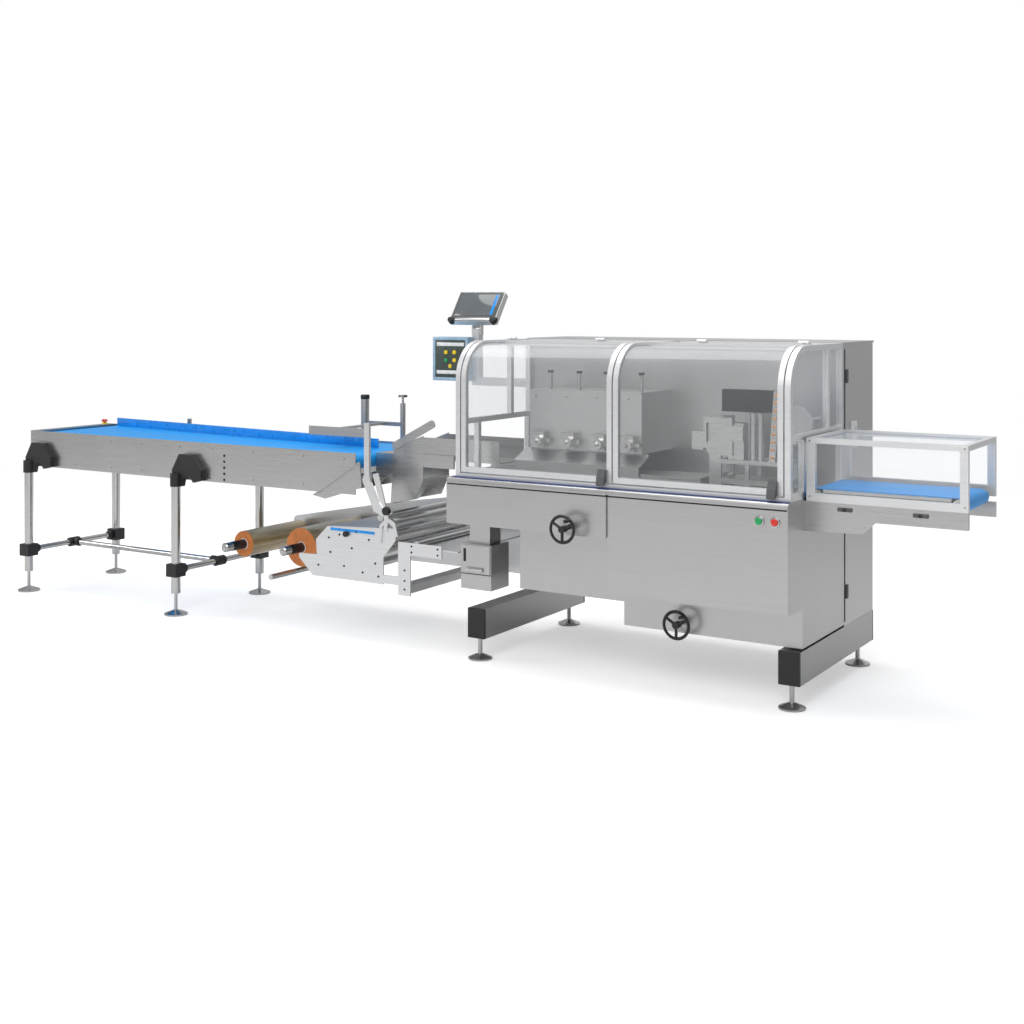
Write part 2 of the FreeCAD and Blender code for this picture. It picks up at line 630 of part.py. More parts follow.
def outfeed():
    left, right = s.machine_right, s.outfeed_right
    front, rear = -s.outfeed_front, -s.outfeed_rear
    base_line, wall = OUTFEED_BASE, s.outfeed_wall
    front_wall = [
        (left, OUTFEED_BASE - 121), (left + 234, base_line - 115), (left + 286, base_line - 67),
        (right, base_line - 67), (right, base_line), (left, base_line),
    ]
    rear_wall = rectangle((left, right + s.wall_overhang), (base_line - 61, base_line))
    walls = [
        plate("outfeed_wall_front", "XZ", front_wall, front, s.outfeed_bar),
        plate("outfeed_wall_rear", "XZ", rear_wall, rear - wall, wall),
    ]
    drum = s.outfeed_drum
    run = (left + 8, right - 8)
    inner = drum - s.belt_thickness - s.fit
    axis_level = OUTFEED_LEVEL - drum
    inside = (front + s.outfeed_bar, rear - wall)
    bed_height = (axis_level + inner - 12, axis_level + inner)
    bed_top = block("bed", (run[0] + 2 * drum, run[1] - 2 * drum), inside, bed_height)
    drop = block("bed_drop", (left + 160, right - 120), (rear - wall, rear), (base_line, bed_height[1]))
    walls.append(drop)
    low_tie = block("bed_tie", (left, left + 200), inside, (base_line - 100, base_line - 60))
    node("outfeed_frame", union("outfeed_frame", [*walls, bed_top, low_tie]))
    width = (inside[0] + s.belt_edge, inside[1] - s.belt_edge)
    loop = belt("outfeed_belt", run, width, OUTFEED_LEVEL, drum)
    bar = s.outfeed_bar
    top = OUTFEED_BASE + s.tunnel_height
    span = (left + 7, right)
    frame = rectangle(span, (base_line, top))
    window = rectangle((span[0] + 36, right - 31), (base_line + 33, top - bar))
    back_window = rectangle((span[0] + 36, right - 31), (base_line + 58, top - bar))
    back_frame = rectangle(span, (base_line + 14, top))
    frames = [
        plate("tunnel_front", "XZ", frame, front, bar, cutouts=[window]),
        plate("tunnel_back", "XZ", back_frame, s.outfeed_back - bar, bar, cutouts=[back_window]),
    ]
    between = (front + bar, s.outfeed_back - bar)
    for index, start in enumerate((span[0], right - bar)):
        frames.append(block(f"tunnel_tie_{index}", (start, start + bar), between, (top - bar, top)))
    for index, start in enumerate((left + 150, right - 120)):
        reach = (rear, s.outfeed_back - bar)
        frames.append(block(f"tunnel_foot_{index}", (start, start + 40), reach, (base_line + 14, base_line + 26)))
        lug = (rear, rear + 6)
        frames.append(block(f"tunnel_lug_{index}", (start, start + 40), lug, (base_line - 40, base_line + 26)))
    node("outfeed_guard", union("outfeed_guard", frames))
    middle = (bar - s.pane) / 2
    panes = [
        plate("tunnel_pane_front", "XZ", window, front + middle, s.pane),
        plate("tunnel_pane_back", "XZ", back_window, s.outfeed_back - bar + middle, s.pane),
        block("tunnel_pane_top", (span[0] + bar, right - bar), between, (top - middle - s.pane, top - middle)),
    ]
    rollers = [
        rod(f"outfeed_roller_{i}", "Y", (x, inside[0], axis_level), inside[1] - inside[0], inner)
        for i, x in enumerate((run[0] + drum, run[1] - drum))
    ]
    return panes, rollers, loop


# ---- infeed --------------------------------------------------------------------------------------

LEG_X = (-s.leg_left, -s.leg_left + s.leg_pitch)
LEG_Y = (-s.infeed_front - s.leg_stand_off, s.infeed_rear + s.leg_stand_off)


def infeed_frame():
    left, right = -s.infeed_left, -s.infeed_end
    height = (s.infeed_bottom, s.infeed_top)
    front, rear, wall = -s.infeed_front, s.infeed_rear, s.infeed_wall
    outline = rectangle((left, right), height)
    walls = [
        plate("infeed_wall_front", "XZ", outline, front, wall),
        plate("infeed_wall_rear", "XZ", outline, rear - wall, wall),
    ]
    drum = s.infeed_drum
    run = (left + 66, right - 4)
    inner = drum - s.belt_thickness - s.fit
    axis_level = s.infeed_level - drum
    inside = (front + wall, rear - wall)
    bed_height = (axis_level + inner - 12, axis_level + inner)
    walls.append(block("infeed_bed", (run[0] + 2 * drum, run[1] - 2 * drum), inside, bed_height))
    walls.append(block("infeed_end_top", (left, left + 60), inside, (s.infeed_top - 4, s.infeed_top)))
    walls.append(block("infeed_end_wall", (left, left + 4), inside, (s.infeed_bottom, s.infeed_top - 4)))
    walls.append(block("infeed_tie", (right - 300, right - 260), inside, (s.infeed_bottom, s.infeed_bottom + 40)))
    node("infeed_frame", union("infeed_frame", walls))
    width = (inside[0] + s.belt_edge, inside[1] - s.belt_edge)
    loop = belt("infeed_belt", run, width, s.infeed_level, drum)
    rollers = [
        rod(f"infeed_roller_{i}", "Y", (x, inside[0], axis_level), inside[1] - inside[0], inner)
        for i, x in enumerate((run[0] + drum, run[1] - drum))
    ]
    return rollers, loop


NECK_END = as_size(64)


def infeed_stand():
    legs, feet, brackets, clamps = [], [], [], []
    radius, level = s.leg_radius, s.cross_level
    socket_bottom = s.infeed_bottom - 34
    leg_top = s.infeed_bottom + 20
    for i, x in enumerate(LEG_X):
        for k, y in enumerate(LEG_Y):
            tag = f"{i}{k}"
            legs.append(rod(f"leg_{tag}", "Z", (x, y, s.leg_base), leg_top - s.leg_base, radius))
            feet.append(foot(f"infeed_foot_{tag}", x, y, s.infeed_foot_radius, s.leg_base, as_size(9)))
            brackets.append(leg_bracket(f"leg_bracket_{tag}", x, y, k, socket_bottom, leg_top))
            half = s.clamp_height / 2
            outer = block(
                f"clamp_block_{tag}", (x - 36, x + 36), (y - 36, y + 36), (level - half, level + half)
            )
            hole = rod(f"clamp_hole_{tag}", "Z", (x, y, level - half), s.clamp_height, radius + s.fit)
            start = y + 36 if k == 0 else y - 36 - 28
            neck = stud(f"clamp_neck_{tag}", "Y", (x, start, level), 28, s.cross_radius + 9)
            clamps.append(less(f"clamp_{tag}", union(f"clamp_body_{tag}", [outer, neck]), hole))
    middle = (LEG_Y[0] + LEG_Y[1]) / 2
    tubes = []
    for i, x in enumerate(LEG_X):
        start = LEG_Y[0] + NECK_END
        length = LEG_Y[1] - NECK_END - start
        tubes.append(rod(f"cross_tube_{i}", "Y", (x, start, level), length, s.cross_radius))
        outer = stud(f"joint_outer_{i}", "Y", (x, middle - 32, level), 64, s.cross_radius + 12)
        bore = rod(f"joint_bore_{i}", "Y", (x, middle - 32, level), 64, s.cross_radius + s.fit)
        reach = as_size(52)
        socket_start = x if i == 0 else x - reach
        socket = stud(f"joint_socket_{i}", "X", (socket_start, middle, level), reach, s.cross_radius + 9)
        clamps.append(less(f"joint_{i}", union(f"joint_body_{i}", [outer, socket]), bore))
    long_start = LEG_X[0] + 52
    long_length = s.leg_pitch - 104
    tubes.append(rod("long_tube", "X", (long_start, middle, level), long_length, s.cross_radius))
    node("stand_tubes", group("stand_tubes", legs + tubes))
    node("stand_brackets", group("stand_brackets", brackets + clamps))
    return feet


def leg_bracket(name, x, y, k, bottom, leg_top):
    """A moulded bracket: a socket on the leg's top and an arched web bolted to the side plate."""
    z = s.infeed_bottom
    web = [
        (x - 30, bottom), (x + 30, bottom), (x + 44, z + 20, 20), (x + 96, z + 24, 20), (x + 122, z - 8),
        (x + 178, z + 6), (x + 178, z + 60), (x + 110, z + 136, 14), (x + 20, z + 136, 14),
        (x - 30, z + 50),
    ]
    depth = s.leg_stand_off
    start = y if k == 0 else y - depth
    body = plate(f"{name}_web", "XZ", web, start, depth)
    socket = stud(f"{name}_socket", "Z", (x, y, bottom), leg_top - bottom + 14, s.leg_radius + 7)
    hole = rod(f"{name}_hole", "Z", (x, y, bottom), leg_top - bottom + s.fit, s.leg_radius + s.fit)
    return less(name, union(f"{name}_solid", [body, socket]), hole)


def infeed_guides():
    """The slanting fence, its clamp knob on the rear side plate, the stop button and the dead plate."""
    fence = document.addObject("Part::Box", "fence_board")
    bind(fence, "Length", 2150)
    bind(fence, "Width", 4)
    bind(fence, "Height", s.fence_height)
    turn = FreeCAD.Rotation(FreeCAD.Vector(0, 0, 1), -s.fence_angle.value)
    put(fence, -s.infeed_end - 2240, 84, s.infeed_level + 1.5, turn)
    level = s.infeed_level + 1.5
    slope = math.tan(math.radians(s.fence_angle.value))
    pieces = [fence]
    for index, along in enumerate((560, 1500)):
        x = -s.infeed_end - 2240 + along
        y = 84 - slope * along + 2
        reach = (as_size(y), s.infeed_rear + 14)
        bar = block(f"fence_bar_{index}", (x - 9, x + 9), reach, (level + 14, level + 26))
        stand = (s.infeed_rear, s.infeed_rear + 14)
        post = block(f"fence_post_{index}", (x - 9, x + 9), stand, (s.infeed_top - 60, level + 26))
        knob = stud(f"fence_knob_{index}", "Z", (x, s.infeed_rear + 7, level + 26), 36, 13)
        pieces += [bar, post, knob]
    x, y = -s.infeed_left + 30, 60
    collar = tube("button_collar", "Z", (x, y, s.infeed_top), 10, 15, 6 + s.fit)
    node("stop_button_base", collar)
    stem = rod("button_stem", "Z", (x, y, s.infeed_top + 5), 12, 6)
    dome = [(0, 0), (18, 0), (18, 8), (12, 14), (0, 14)]
    head = turned("button_head", (x, y, s.infeed_top + 15.5), dome)
    node("stop_button", union("stop_button", [stem, head]))
    left = -s.infeed_end
    right = left + 320
    half = s.throat_half - 6
    span_y = (-s.line_centre - half, -s.line_centre + half)
    top = block("dead_plate", (left + 1, right), span_y, (s.infeed_level - 12, s.infeed_level - 2))
    sides = []
    for index, y0 in enumerate((span_y[0], span_y[1] - 6)):
        wall = [
            (left + 1, s.infeed_bottom + 30), (left + 120, s.infeed_bottom + 110),
            (left + 235, s.infeed_level - 12), (left + 1, s.infeed_level - 12),
        ]
        sides.append(plate(f"dead_side_{index}", "XZ", wall, y0, 6))
    tie = block("dead_tie", (left, left + 12), (-s.infeed_front, s.infeed_rear), (s.infeed_bottom + 30, s.infeed_bottom + 70))
    return union("guide_fence", pieces), [top, *sides, tie]


# ---- film carriage -------------------------------------------------------------------------------

ROLLERS = {
    "entry": (-1560, 455, 24), "dancer": (-1440, 350, 20), "nip_low": (-1300, 455, 28),
    "nip_high": (-1262, 520, 22), "lead": (-1298, 606, 17), "turn": (-1228, 588, 19), "tray": (-1085, 498, 14),
}


def film_reels():
    """Two cantilever shafts, each with an expanding front, and the film rolls on them."""
    for side, x, z, radius in (
        ("left", -s.reel_left_x, s.reel_left_z, s.reel_left_radius),
        ("right", -s.reel_right_x, s.reel_right_z, s.reel_right_radius),
    ):
        length = s.back_plate + s.shaft_front
        profile = [
            (0, 0), (18, 0), (s.core_radius - s.fit, 6),
            (s.core_radius - s.fit, length - 30), (s.core_radius + 14, length - 30),
            (s.core_radius + 14, length - s.fit), (0, length - s.fit),
        ]
        shaft = turned(f"reel_{side}_shaft", (x, -s.shaft_front, z), profile, TURN["Y"])
        node(f"reel_{side}_shaft", shaft)
        ring = tube(f"reel_{side}_film", "Y", (x, -s.reel_front, z), s.film_width, radius, s.core_radius)
        node(f"reel_{side}_film", ring)


def carriage():
    """The film carriage: one long back plate, the front cheek plate and the rollers between them."""
    face = s.back_plate
    outline = [
        (-2440, 290, 20), (-2300, 262), (-s.rear_left, 262), (-s.rear_left, 640), (-1230, 640, 40),
        (-1760, 560, 60), (-2440, 436, 30),
    ]
    node("film_back_plate", plate("film_back_plate", "XZ", outline, face, s.back_plate_thickness))
    front = -s.carriage_front
    cheek = [
        (-1798, 372), (-1710, 290), (-1275, 290), (-1275, 420), (-1203, 505), (-1203, 562), (-1617, 540),
        (-1690, 470), (-1685, 396), (-1798, 392),
    ]
    wall = s.carriage_wall
    cheek_plate = plate("cheek_plate", "XZ", cheek, front, wall)
    length = face - front - wall
    rollers = [
        rod(f"roller_{name}", "Y", (x, front + wall, z), length, radius)
        for name, (x, z, radius) in ROLLERS.items()
    ]
    rollers.append(rod("roller_reel_guard", "Y", (-1985, front, 252), face - front, 14))
    node("carriage_rollers", group("carriage_rollers", rollers))
    bracket = [
        (-1188, 502), (-938, 502), (-938, 442), (-1117, 442), (-1117, 250), (-1188, 250),
    ]
    pieces = [plate("tray_bracket", "XZ", bracket, front, wall)]
    pieces.append(block("tray_link", (-1275, -1188), (front, front + wall), (296, 336)))
    pieces.append(block("tray_sheet", (-1180, -850), (front + wall, face), (478, 484)))
    pieces.append(block("tray_foot", (-1186, -1120), (front + wall, face), (262, 300)))
    slope = [(-1612, 536), (-1320, 551), (-1320, 556), (-1612, 541)]
    pieces.append(plate("entry_sheet", "XZ", slope, front + wall, face - front - wall))
    lever = [(-1334, 812), (-1302, 820), (-1240, 612), (-1250, 545), (-1268, 545), (-1264, 600)]
    pieces.append(plate("lever", "XZ", lever, front - 8, 8))
    bow = [
        (-1300, 490), (-1292, 572), (-1247, 614, 30), (-1200, 586), (-1184, 528), (-1200, 524),
        (-1214, 572), (-1247, 594), (-1276, 564), (-1284, 488),
    ]
    pieces.append(plate("lever_bow", "XZ", bow, front - 8, 8))
    stay = [
        (-1376, 780), (-1346, 800), (-1346, 1056), (-1376, 1056),
    ]
    pieces.append(plate("stay", "XZ", stay, front - 20, 14))
    crank = [
        (-1376, 820), (-1346, 820), (-1344, 776, 24), (-1306, 700, 30), (-1262, 646), (-1268, 618), (-1322, 634),
        (-1352, 700, 40), (-1392, 780, 20),
    ]
    pieces.append(plate("crank", "XZ", crank, front - 14, 14))
    node("carriage_plate", union("carriage_plate", [cheek_plate, *pieces]))


def forming(feed_pieces, fence):
    """The forming box that folds the film round the product, and the hold-down over the infeed."""
    centre = -s.line_centre
    wing = [(-1345, 655), (-1196, 686), (-1150, 780), (-1150, 992), (-1325, 925)]
    throat = (-1150, -s.guard_left + s.rail + 60)
    half = s.throat_half
    pieces = []
    for index, y in enumerate((centre - half, centre + half - 4)):
        pieces.append(plate(f"wing_{index}", "XZ", wing, y, 4))
        pieces.append(block(f"tube_side_{index}", throat, (y, y + 4), (s.infeed_level - 12, 985)))
    floor = (s.infeed_level - 16, s.infeed_level - 12)
    inner = (centre - half, centre + half)
    pieces.append(block("tube_floor", throat, inner, floor))
    arm = [(-1336, 946, 14), (-1090, 1074, 14), (-1074, 1040, 14), (-1318, 912, 14)]
    pieces.append(plate("wing_arm", "XZ", arm, centre - half - 8, 8))
    pieces.append(block("throat_block", (-1165, -965), (centre - half - 12, centre - half), (843, 905)))
    ramp = [(-1689, 686), (-1624, 674), (-1399, 744), (-1410, 862)]
    ramp_front = -s.infeed_front - 5
    pieces.append(plate("film_ramp_side", "XZ", ramp, ramp_front, 5))
    film_way = [(-1689, 686), (-1410, 860), (-1413, 865), (-1692, 691)]
    pieces.append(plate("film_ramp", "XZ", film_way, ramp_front - 12, 17))
    shoulder = [(-1345, 655), (-1340, 650), (-1150, 776), (-1150, 784)]
    pieces.append(plate("shoulder_sheet", "XZ", shoulder, centre - half, 2 * half))
    node("forming_box", union("forming_box", [*pieces, *feed_pieces]))
    y = s.infeed_rear
    posts = [
        rod("guide_post", "Z", (-1850, y + 30, s.infeed_bottom + 40), 395, 22),
        block("guide_post_foot", (-1872, -1828), (y, y + 30), (s.infeed_bottom + 60, s.infeed_bottom + 140)),
        rod("screw_post", "Z", (-1600, y + 30, s.infeed_bottom + 40), 360, 14),
        block("screw_post_foot", (-1614, -1586), (y, y + 30), (s.infeed_bottom + 60, s.infeed_bottom + 140)),
        stud("screw_stem", "Z", (-1600, y + 30, s.infeed_bottom + 400), 36, 6),
        stud("screw_knob", "Z", (-1600, y + 30, s.infeed_bottom + 436), 8, 20),
        block("guide_arm", (-1850, -1600), (y + 22, y + 38), (984, 1004)),
        block("guide_cross", (-1740, -1716), (centre - 60, y + 22), (988, 1000)),
        block("guide_shoe", (-1900, -1540), (centre - 66, centre - 56), (960, 1004)),
    ]
    node("product_guides", union("product_guides", [fence, union("hold_down", posts)]))


# ---- operator panel, handwheels, small box -------------------------------------------------------


def operator_panel():
    half = s.post_side / 2
    x, y = -s.post_x, s.post_y
    span_y = (y - half, y + half)
    arm_top = s.arm_bottom + s.post_side
    arm = block("panel_arm", (x - half, -s.rear_left), span_y, (s.arm_bottom, arm_top))
    post = block("panel_post", (x - half, x + half), span_y, (arm_top, s.post_top))
    cheeks = []
    for index, start in enumerate((x - half - 8, x + half)):
        reach = (y - 12, y + 12)
        cheeks.append(block(f"post_cheek_{index}", (start, start + 8), reach, (s.post_top - 30, s.post_top + 26)))
    node("panel_support", union("panel_support", [arm, post, *cheeks]))
    pivot_z = s.post_top + 14
    turn = FreeCAD.Rotation(FreeCAD.Vector(1, 0, 0), -(90 - s.panel_tilt.value))
    body = document.addObject("PartDesign::Body", "panel_body")
    sketch = new_sketch(body, "panel_outline", "XZ")
    half_width = s.panel_width / 2
    draw_outline(sketch, rectangle((-half_width, half_width), (as_size(-12), s.panel_length - 12), 8))
    pad = body.newObject("PartDesign::Pad", "panel_pad")
    pad.Profile = sketch
    bind(pad, "Length", s.panel_depth)
    tilt = math.radians(90 - s.panel_tilt.value)
    stand_off = s.panel_stand_off
    put(body, x, y - stand_off * math.cos(tilt), pivot_z + stand_off * math.sin(tilt), turn)
    lug = document.addObject("Part::Box", "panel_lug")
    bind(lug, "Length", s.post_side - 1)
    bind(lug, "Width", stand_off)
    bind(lug, "Height", 16)
    corner = turn.multVec(FreeCAD.Vector(0.5 - s.post_side.value / 2, -stand_off.value, -8))
    put(lug, x + corner.x, y + corner.y, pivot_z + corner.z, turn)
    trunnion = rod("panel_trunnion", "X", (x - half + 0.5, y, pivot_z), s.post_side - 1, 10)
    node("operator_panel", union("operator_panel", [body, lug, trunnion]))
    box_span = (x - half - 216, x - half)
    depth = (y - 55, y + half)
    case = block("control_case", box_span, depth, (1236, 1458))
    node("control_box", case)


RIM_SECTION = [(1, 0), (0.5, 0.87), (-0.5, 0.87), (-1, 0), (-0.5, -0.87), (0.5, -0.87)]


def handwheel(name, x, z, panel_y):
    """A three-spoke handwheel on its shaft, with a turned crank grip on the rim."""
    radius, rim = s.handwheel_radius, s.rim_radius
    y = panel_y - s.wheel_stand_off
    section = [(radius + rim * a, rim * b) for a, b in RIM_SECTION]
    ring = turned(f"{name}_rim", (x, y, z), section, TURN["Y"])
    hub = stud(f"{name}_hub", "Y", (x, y - 10, z), 34, 15)
    shaft = stud(f"{name}_shaft", "Y", (x, y + 24, z), s.wheel_stand_off - 24 - s.fit, 9)
    pieces = [ring, hub, shaft]
    for index in range(3):
        angle = 90 + 120 * index
        spoke = document.addObject("Part::Box", f"{name}_spoke_{index}")
        bind(spoke, "Length", radius)
        bind(spoke, "Width", 8)
        bind(spoke, "Height", 12)
        turn = TURN["Y"].multiply(FreeCAD.Rotation(FreeCAD.Vector(0, 0, 1), angle))
        corner = turn.multVec(FreeCAD.Vector(0, -4, -6))
        put(spoke, x + corner.x, y + corner.y, z + corner.z, turn)
        pieces.append(spoke)
    lean = math.radians(50)
    grip_x = x + (radius - 2) * math.cos(lean)
    grip_z = z + (radius - 2) * math.sin(lean)
    pieces.append(stud(f"{name}_grip", "Y", (grip_x, y - s.grip_length, grip_z), s.grip_length, 8))
    node(name, union(name, pieces))


def small_box():
    """The box with a latched door that hangs below the left housing."""
    case = plate("junction_case", "XZ", rectangle((-829, -664), (323, 528)), -450, 150)
    door = plate("junction_door", "XZ", rectangle((-824, -669), (395, 524)), -456, 6)
    hanger = block("junction_hanger", (-800, -690), (-420, -330), (528, s.drawer_bottom))
    node("junction_box", union("junction_box", [case, door, hanger]))


feet = base()
cabinets()
panes = guard_frame()
lids()
fin_seal()
jaw_unit()
outfeed_panes, rollers, outfeed_loop = outfeed()
node("clear_panes", group("clear_panes", panes + outfeed_panes))
infeed_rollers, infeed_loop = infeed_frame()
node("belt_rollers", group("belt_rollers", rollers + infeed_rollers))
node("conveyor_belts", group("conveyor_belts", [outfeed_loop, infeed_loop]))
node("levelling_feet", group("levelling_feet", feet + infeed_stand()))
guide_board, feed_pieces = infeed_guides()
film_reels()
carriage()
forming(feed_pieces, guide_board)
operator_panel()
handwheel("handwheel_upper", -s.upper_wheel_x, s.upper_wheel_z, -s.front_plane)
handwheel("handwheel_lower", s.lower_wheel_x, s.lower_wheel_z, -s.recess_plane)
small_box()
document.recompute()

# ---- checks and files ----------------------------------------------------------------------------

faults = [f.Label for f in document.Objects if {"Invalid", "Error"} & set(f.State)]
sketches = [f for f in document.Objects if f.TypeId == "Sketcher::SketchObject"]
faults += [f.Label for f in sketches if not f.FullyConstrained]
faults += [f.Label for f in nodes if f.Shape.isNull() or not f.Shape.isValid() or not f.Shape.Solids]
if faults:
    raise RuntimeError(f"these objects failed: {faults}")
os.makedirs("parts", exist_ok=True)
for feature in nodes:
    feature.Shape.exportStep(f"parts/{feature.Label}.step")
print(len(nodes), "sub-parts written")
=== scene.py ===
import json
import math

import bmesh
import bpy
from bpy.props import BoolProperty, FloatProperty, FloatVectorProperty, IntProperty, PointerProperty
from mathutils import Matrix, Vector


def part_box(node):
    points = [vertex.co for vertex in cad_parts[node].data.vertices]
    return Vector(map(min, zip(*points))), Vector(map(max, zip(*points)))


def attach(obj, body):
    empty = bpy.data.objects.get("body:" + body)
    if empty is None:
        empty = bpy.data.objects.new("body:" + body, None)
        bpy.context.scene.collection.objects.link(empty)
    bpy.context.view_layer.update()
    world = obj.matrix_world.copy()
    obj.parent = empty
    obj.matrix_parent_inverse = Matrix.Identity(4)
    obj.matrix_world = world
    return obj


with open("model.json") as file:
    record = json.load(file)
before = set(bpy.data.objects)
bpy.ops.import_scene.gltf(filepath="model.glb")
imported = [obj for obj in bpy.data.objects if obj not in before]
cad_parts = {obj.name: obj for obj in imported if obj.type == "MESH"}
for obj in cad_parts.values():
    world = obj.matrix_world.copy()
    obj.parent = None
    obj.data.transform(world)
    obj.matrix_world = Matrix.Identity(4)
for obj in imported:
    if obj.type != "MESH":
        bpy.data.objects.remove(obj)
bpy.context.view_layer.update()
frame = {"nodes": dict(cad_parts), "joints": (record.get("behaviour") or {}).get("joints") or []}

bl_info = {
    "name": "Horizontal flow wrapper",
    "version": (1, 0, 0),
    "blender": (4, 5, 0),
    "location": "3D View > Sidebar > Flow wrapper",
    "description": "Finishes and small fittings of a horizontal flow wrapper, round its CAD frame",
    "category": "Object",
}


# ---- what a user may change ----------------------------------------------------------------------


def colour(name, description, default):
    return FloatVectorProperty(
        name=name, description=description, subtype="COLOR", size=3, min=0.0, max=1.0, default=default
    )


class WrapperFinishes(bpy.types.PropertyGroup):
    steel: colour("Stainless steel", "Brushed stainless sheet of the housings", (0.52, 0.52, 0.515))
    aluminium: colour("Aluminium", "Satin anodised guard profiles", (0.82, 0.825, 0.83))
    belt: colour("Belt", "Blue conveyor belt", (0.0, 0.30, 0.78))
    black: colour("Black plastic", "Moulded clamps, caps and handwheels", (0.012, 0.012, 0.013))
    film: colour("Film", "Wound amber film", (0.42, 0.28, 0.11))
    core: colour("Film core", "End faces of the film cores", (0.62, 0.20, 0.05))
    blue_trim: colour("Blue trim", "Blue handles, hoses and screen strip", (0.0, 0.27, 0.75))


class WrapperSizes(bpy.types.PropertyGroup):
    bolt_radius: FloatProperty(
        name="Bolt head radius", description="Radius of the plates' screw heads", default=0.0065,
        min=0.002, max=0.02, unit="LENGTH",
    )
    bezel: FloatProperty(
        name="Screen bezel", description="Width of the dark frame round the screen", default=0.021,
        min=0.005, max=0.04, unit="LENGTH",
    )
    round_steps: IntProperty(
        name="Round steps", description="Sides of each turned fitting", default=32, min=12, max=96
    )
    show_floor: BoolProperty(name="Floor", description="Build the pale studio floor", default=True)


# ---- materials -----------------------------------------------------------------------------------


class Shader:
    """A node material under construction, with its Principled shader ready."""

    def __init__(self, name):
        self.material = bpy.data.materials.new(name)
        self.material.use_nodes = True
        self.nodes = self.material.node_tree.nodes
        self.links = self.material.node_tree.links
        self.bsdf = self.nodes["Principled BSDF"]
        self.coords = self.nodes.new("ShaderNodeTexCoord")

    def set(self, **sockets):
        for key, value in sockets.items():
            self.bsdf.inputs[key.replace("_", " ")].default_value = value
        return self

    def link(self, out, into):
        self.links.new(out, into)

    def stretched(self, scale):
        mapping = self.nodes.new("ShaderNodeMapping")
        mapping.inputs["Scale"].default_value = scale
        self.link(self.coords.outputs["Object"], mapping.inputs["Vector"])
        return mapping.outputs["Vector"]

    def noise(self, scale, size=1.0, detail=3.0, roughness=0.5):
        noise = self.nodes.new("ShaderNodeTexNoise")
        noise.inputs["Scale"].default_value = size
        noise.inputs["Detail"].default_value = detail
        noise.inputs["Roughness"].default_value = roughness
        self.link(self.stretched(scale), noise.inputs["Vector"])
        return noise.outputs["Fac"]

    def ramp(self, value, low, high, near=0.0, far=1.0):
        spread = self.nodes.new("ShaderNodeMapRange")
        spread.inputs["From Min"].default_value = near
        spread.inputs["From Max"].default_value = far
        spread.inputs["To Min"].default_value = low
        spread.inputs["To Max"].default_value = high
        self.link(value, spread.inputs["Value"])
        return spread.outputs["Result"]

    def blend(self, value, first, second, into="Base Color"):
        mix = self.nodes.new("ShaderNodeMix")
        mix.data_type = "RGBA"
        mix.inputs["A"].default_value = (*first, 1.0)
        mix.inputs["B"].default_value = (*second, 1.0)
        self.link(value, mix.inputs["Factor"])
        self.link(mix.outputs["Result"], self.bsdf.inputs[into])
        return mix

    def bump(self, value, strength, distance):
        bump = self.nodes.new("ShaderNodeBump")
        bump.inputs["Strength"].default_value = strength
        bump.inputs["Distance"].default_value = distance
        self.link(value, bump.inputs["Height"])
        self.link(bump.outputs["Normal"], self.bsdf.inputs["Normal"])
        return self


def shade(tone, factor):
    return tuple(min(1.0, channel * factor) for channel in tone)


def brushed_metal(name, tone, grain, roughness=0.30, spread=0.07, patch=0.10):
    """Metal brushed along one direction, with faint cloudy patches; grain is the streaks' scale."""
    shader = Shader(name).set(Metallic=1.0)
    streaks = shader.noise(grain, detail=4.0, roughness=0.65)
    cloud = shader.noise((1.6, 1.6, 1.6), detail=2.0)
    mixed = shader.nodes.new("ShaderNodeMath")
    mixed.operation = "MULTIPLY_ADD"
    mixed.inputs[1].default_value = patch * 4
    shader.link(cloud, mixed.inputs[0])
    shader.link(streaks, mixed.inputs[2])
    shader.blend(shader.ramp(mixed.outputs[0], 0.0, 1.0, 0.35, 0.95), shade(tone, 0.90), shade(tone, 1.06))
    shader.link(shader.ramp(streaks, roughness - spread, roughness + spread, 0.25, 0.75),
                shader.bsdf.inputs["Roughness"])
    return shader.bump(streaks, 0.10, 0.0004).material


def moulded(name, tone, roughness=0.45, grain=900.0, sheen=0.5):
    """Injection-moulded plastic with a fine spark-eroded texture."""
    shader = Shader(name).set(Metallic=0.0, Specular_IOR_Level=sheen)
    fine = shader.noise((grain, grain, grain), detail=1.0)
    wear = shader.noise((9.0, 9.0, 9.0), detail=3.0)
    shader.blend(shader.ramp(wear, 0.0, 1.0, 0.4, 0.7), shade(tone, 0.85), shade(tone, 1.2))
    shader.link(shader.ramp(wear, roughness - 0.06, roughness + 0.08, 0.3, 0.7),
                shader.bsdf.inputs["Roughness"])
    return shader.bump(fine, 0.15, 0.0002).material


def belting(name, tone):
    """Coated fabric belt: satin face with a faint weave and soft scuffs along the run."""
    shader = Shader(name).set(Metallic=0.0, Specular_IOR_Level=0.35)
    scuffs = shader.noise((0.6, 30.0, 30.0), detail=3.0)
    weave = shader.noise((700.0, 700.0, 700.0), detail=0.0)
    shader.blend(shader.ramp(scuffs, 0.0, 1.0, 0.35, 0.7), shade(tone, 0.92), shade(tone, 1.08))
    shader.link(shader.ramp(scuffs, 0.34, 0.5, 0.3, 0.7), shader.bsdf.inputs["Roughness"])
    return shader.bump(weave, 0.08, 0.0002).material


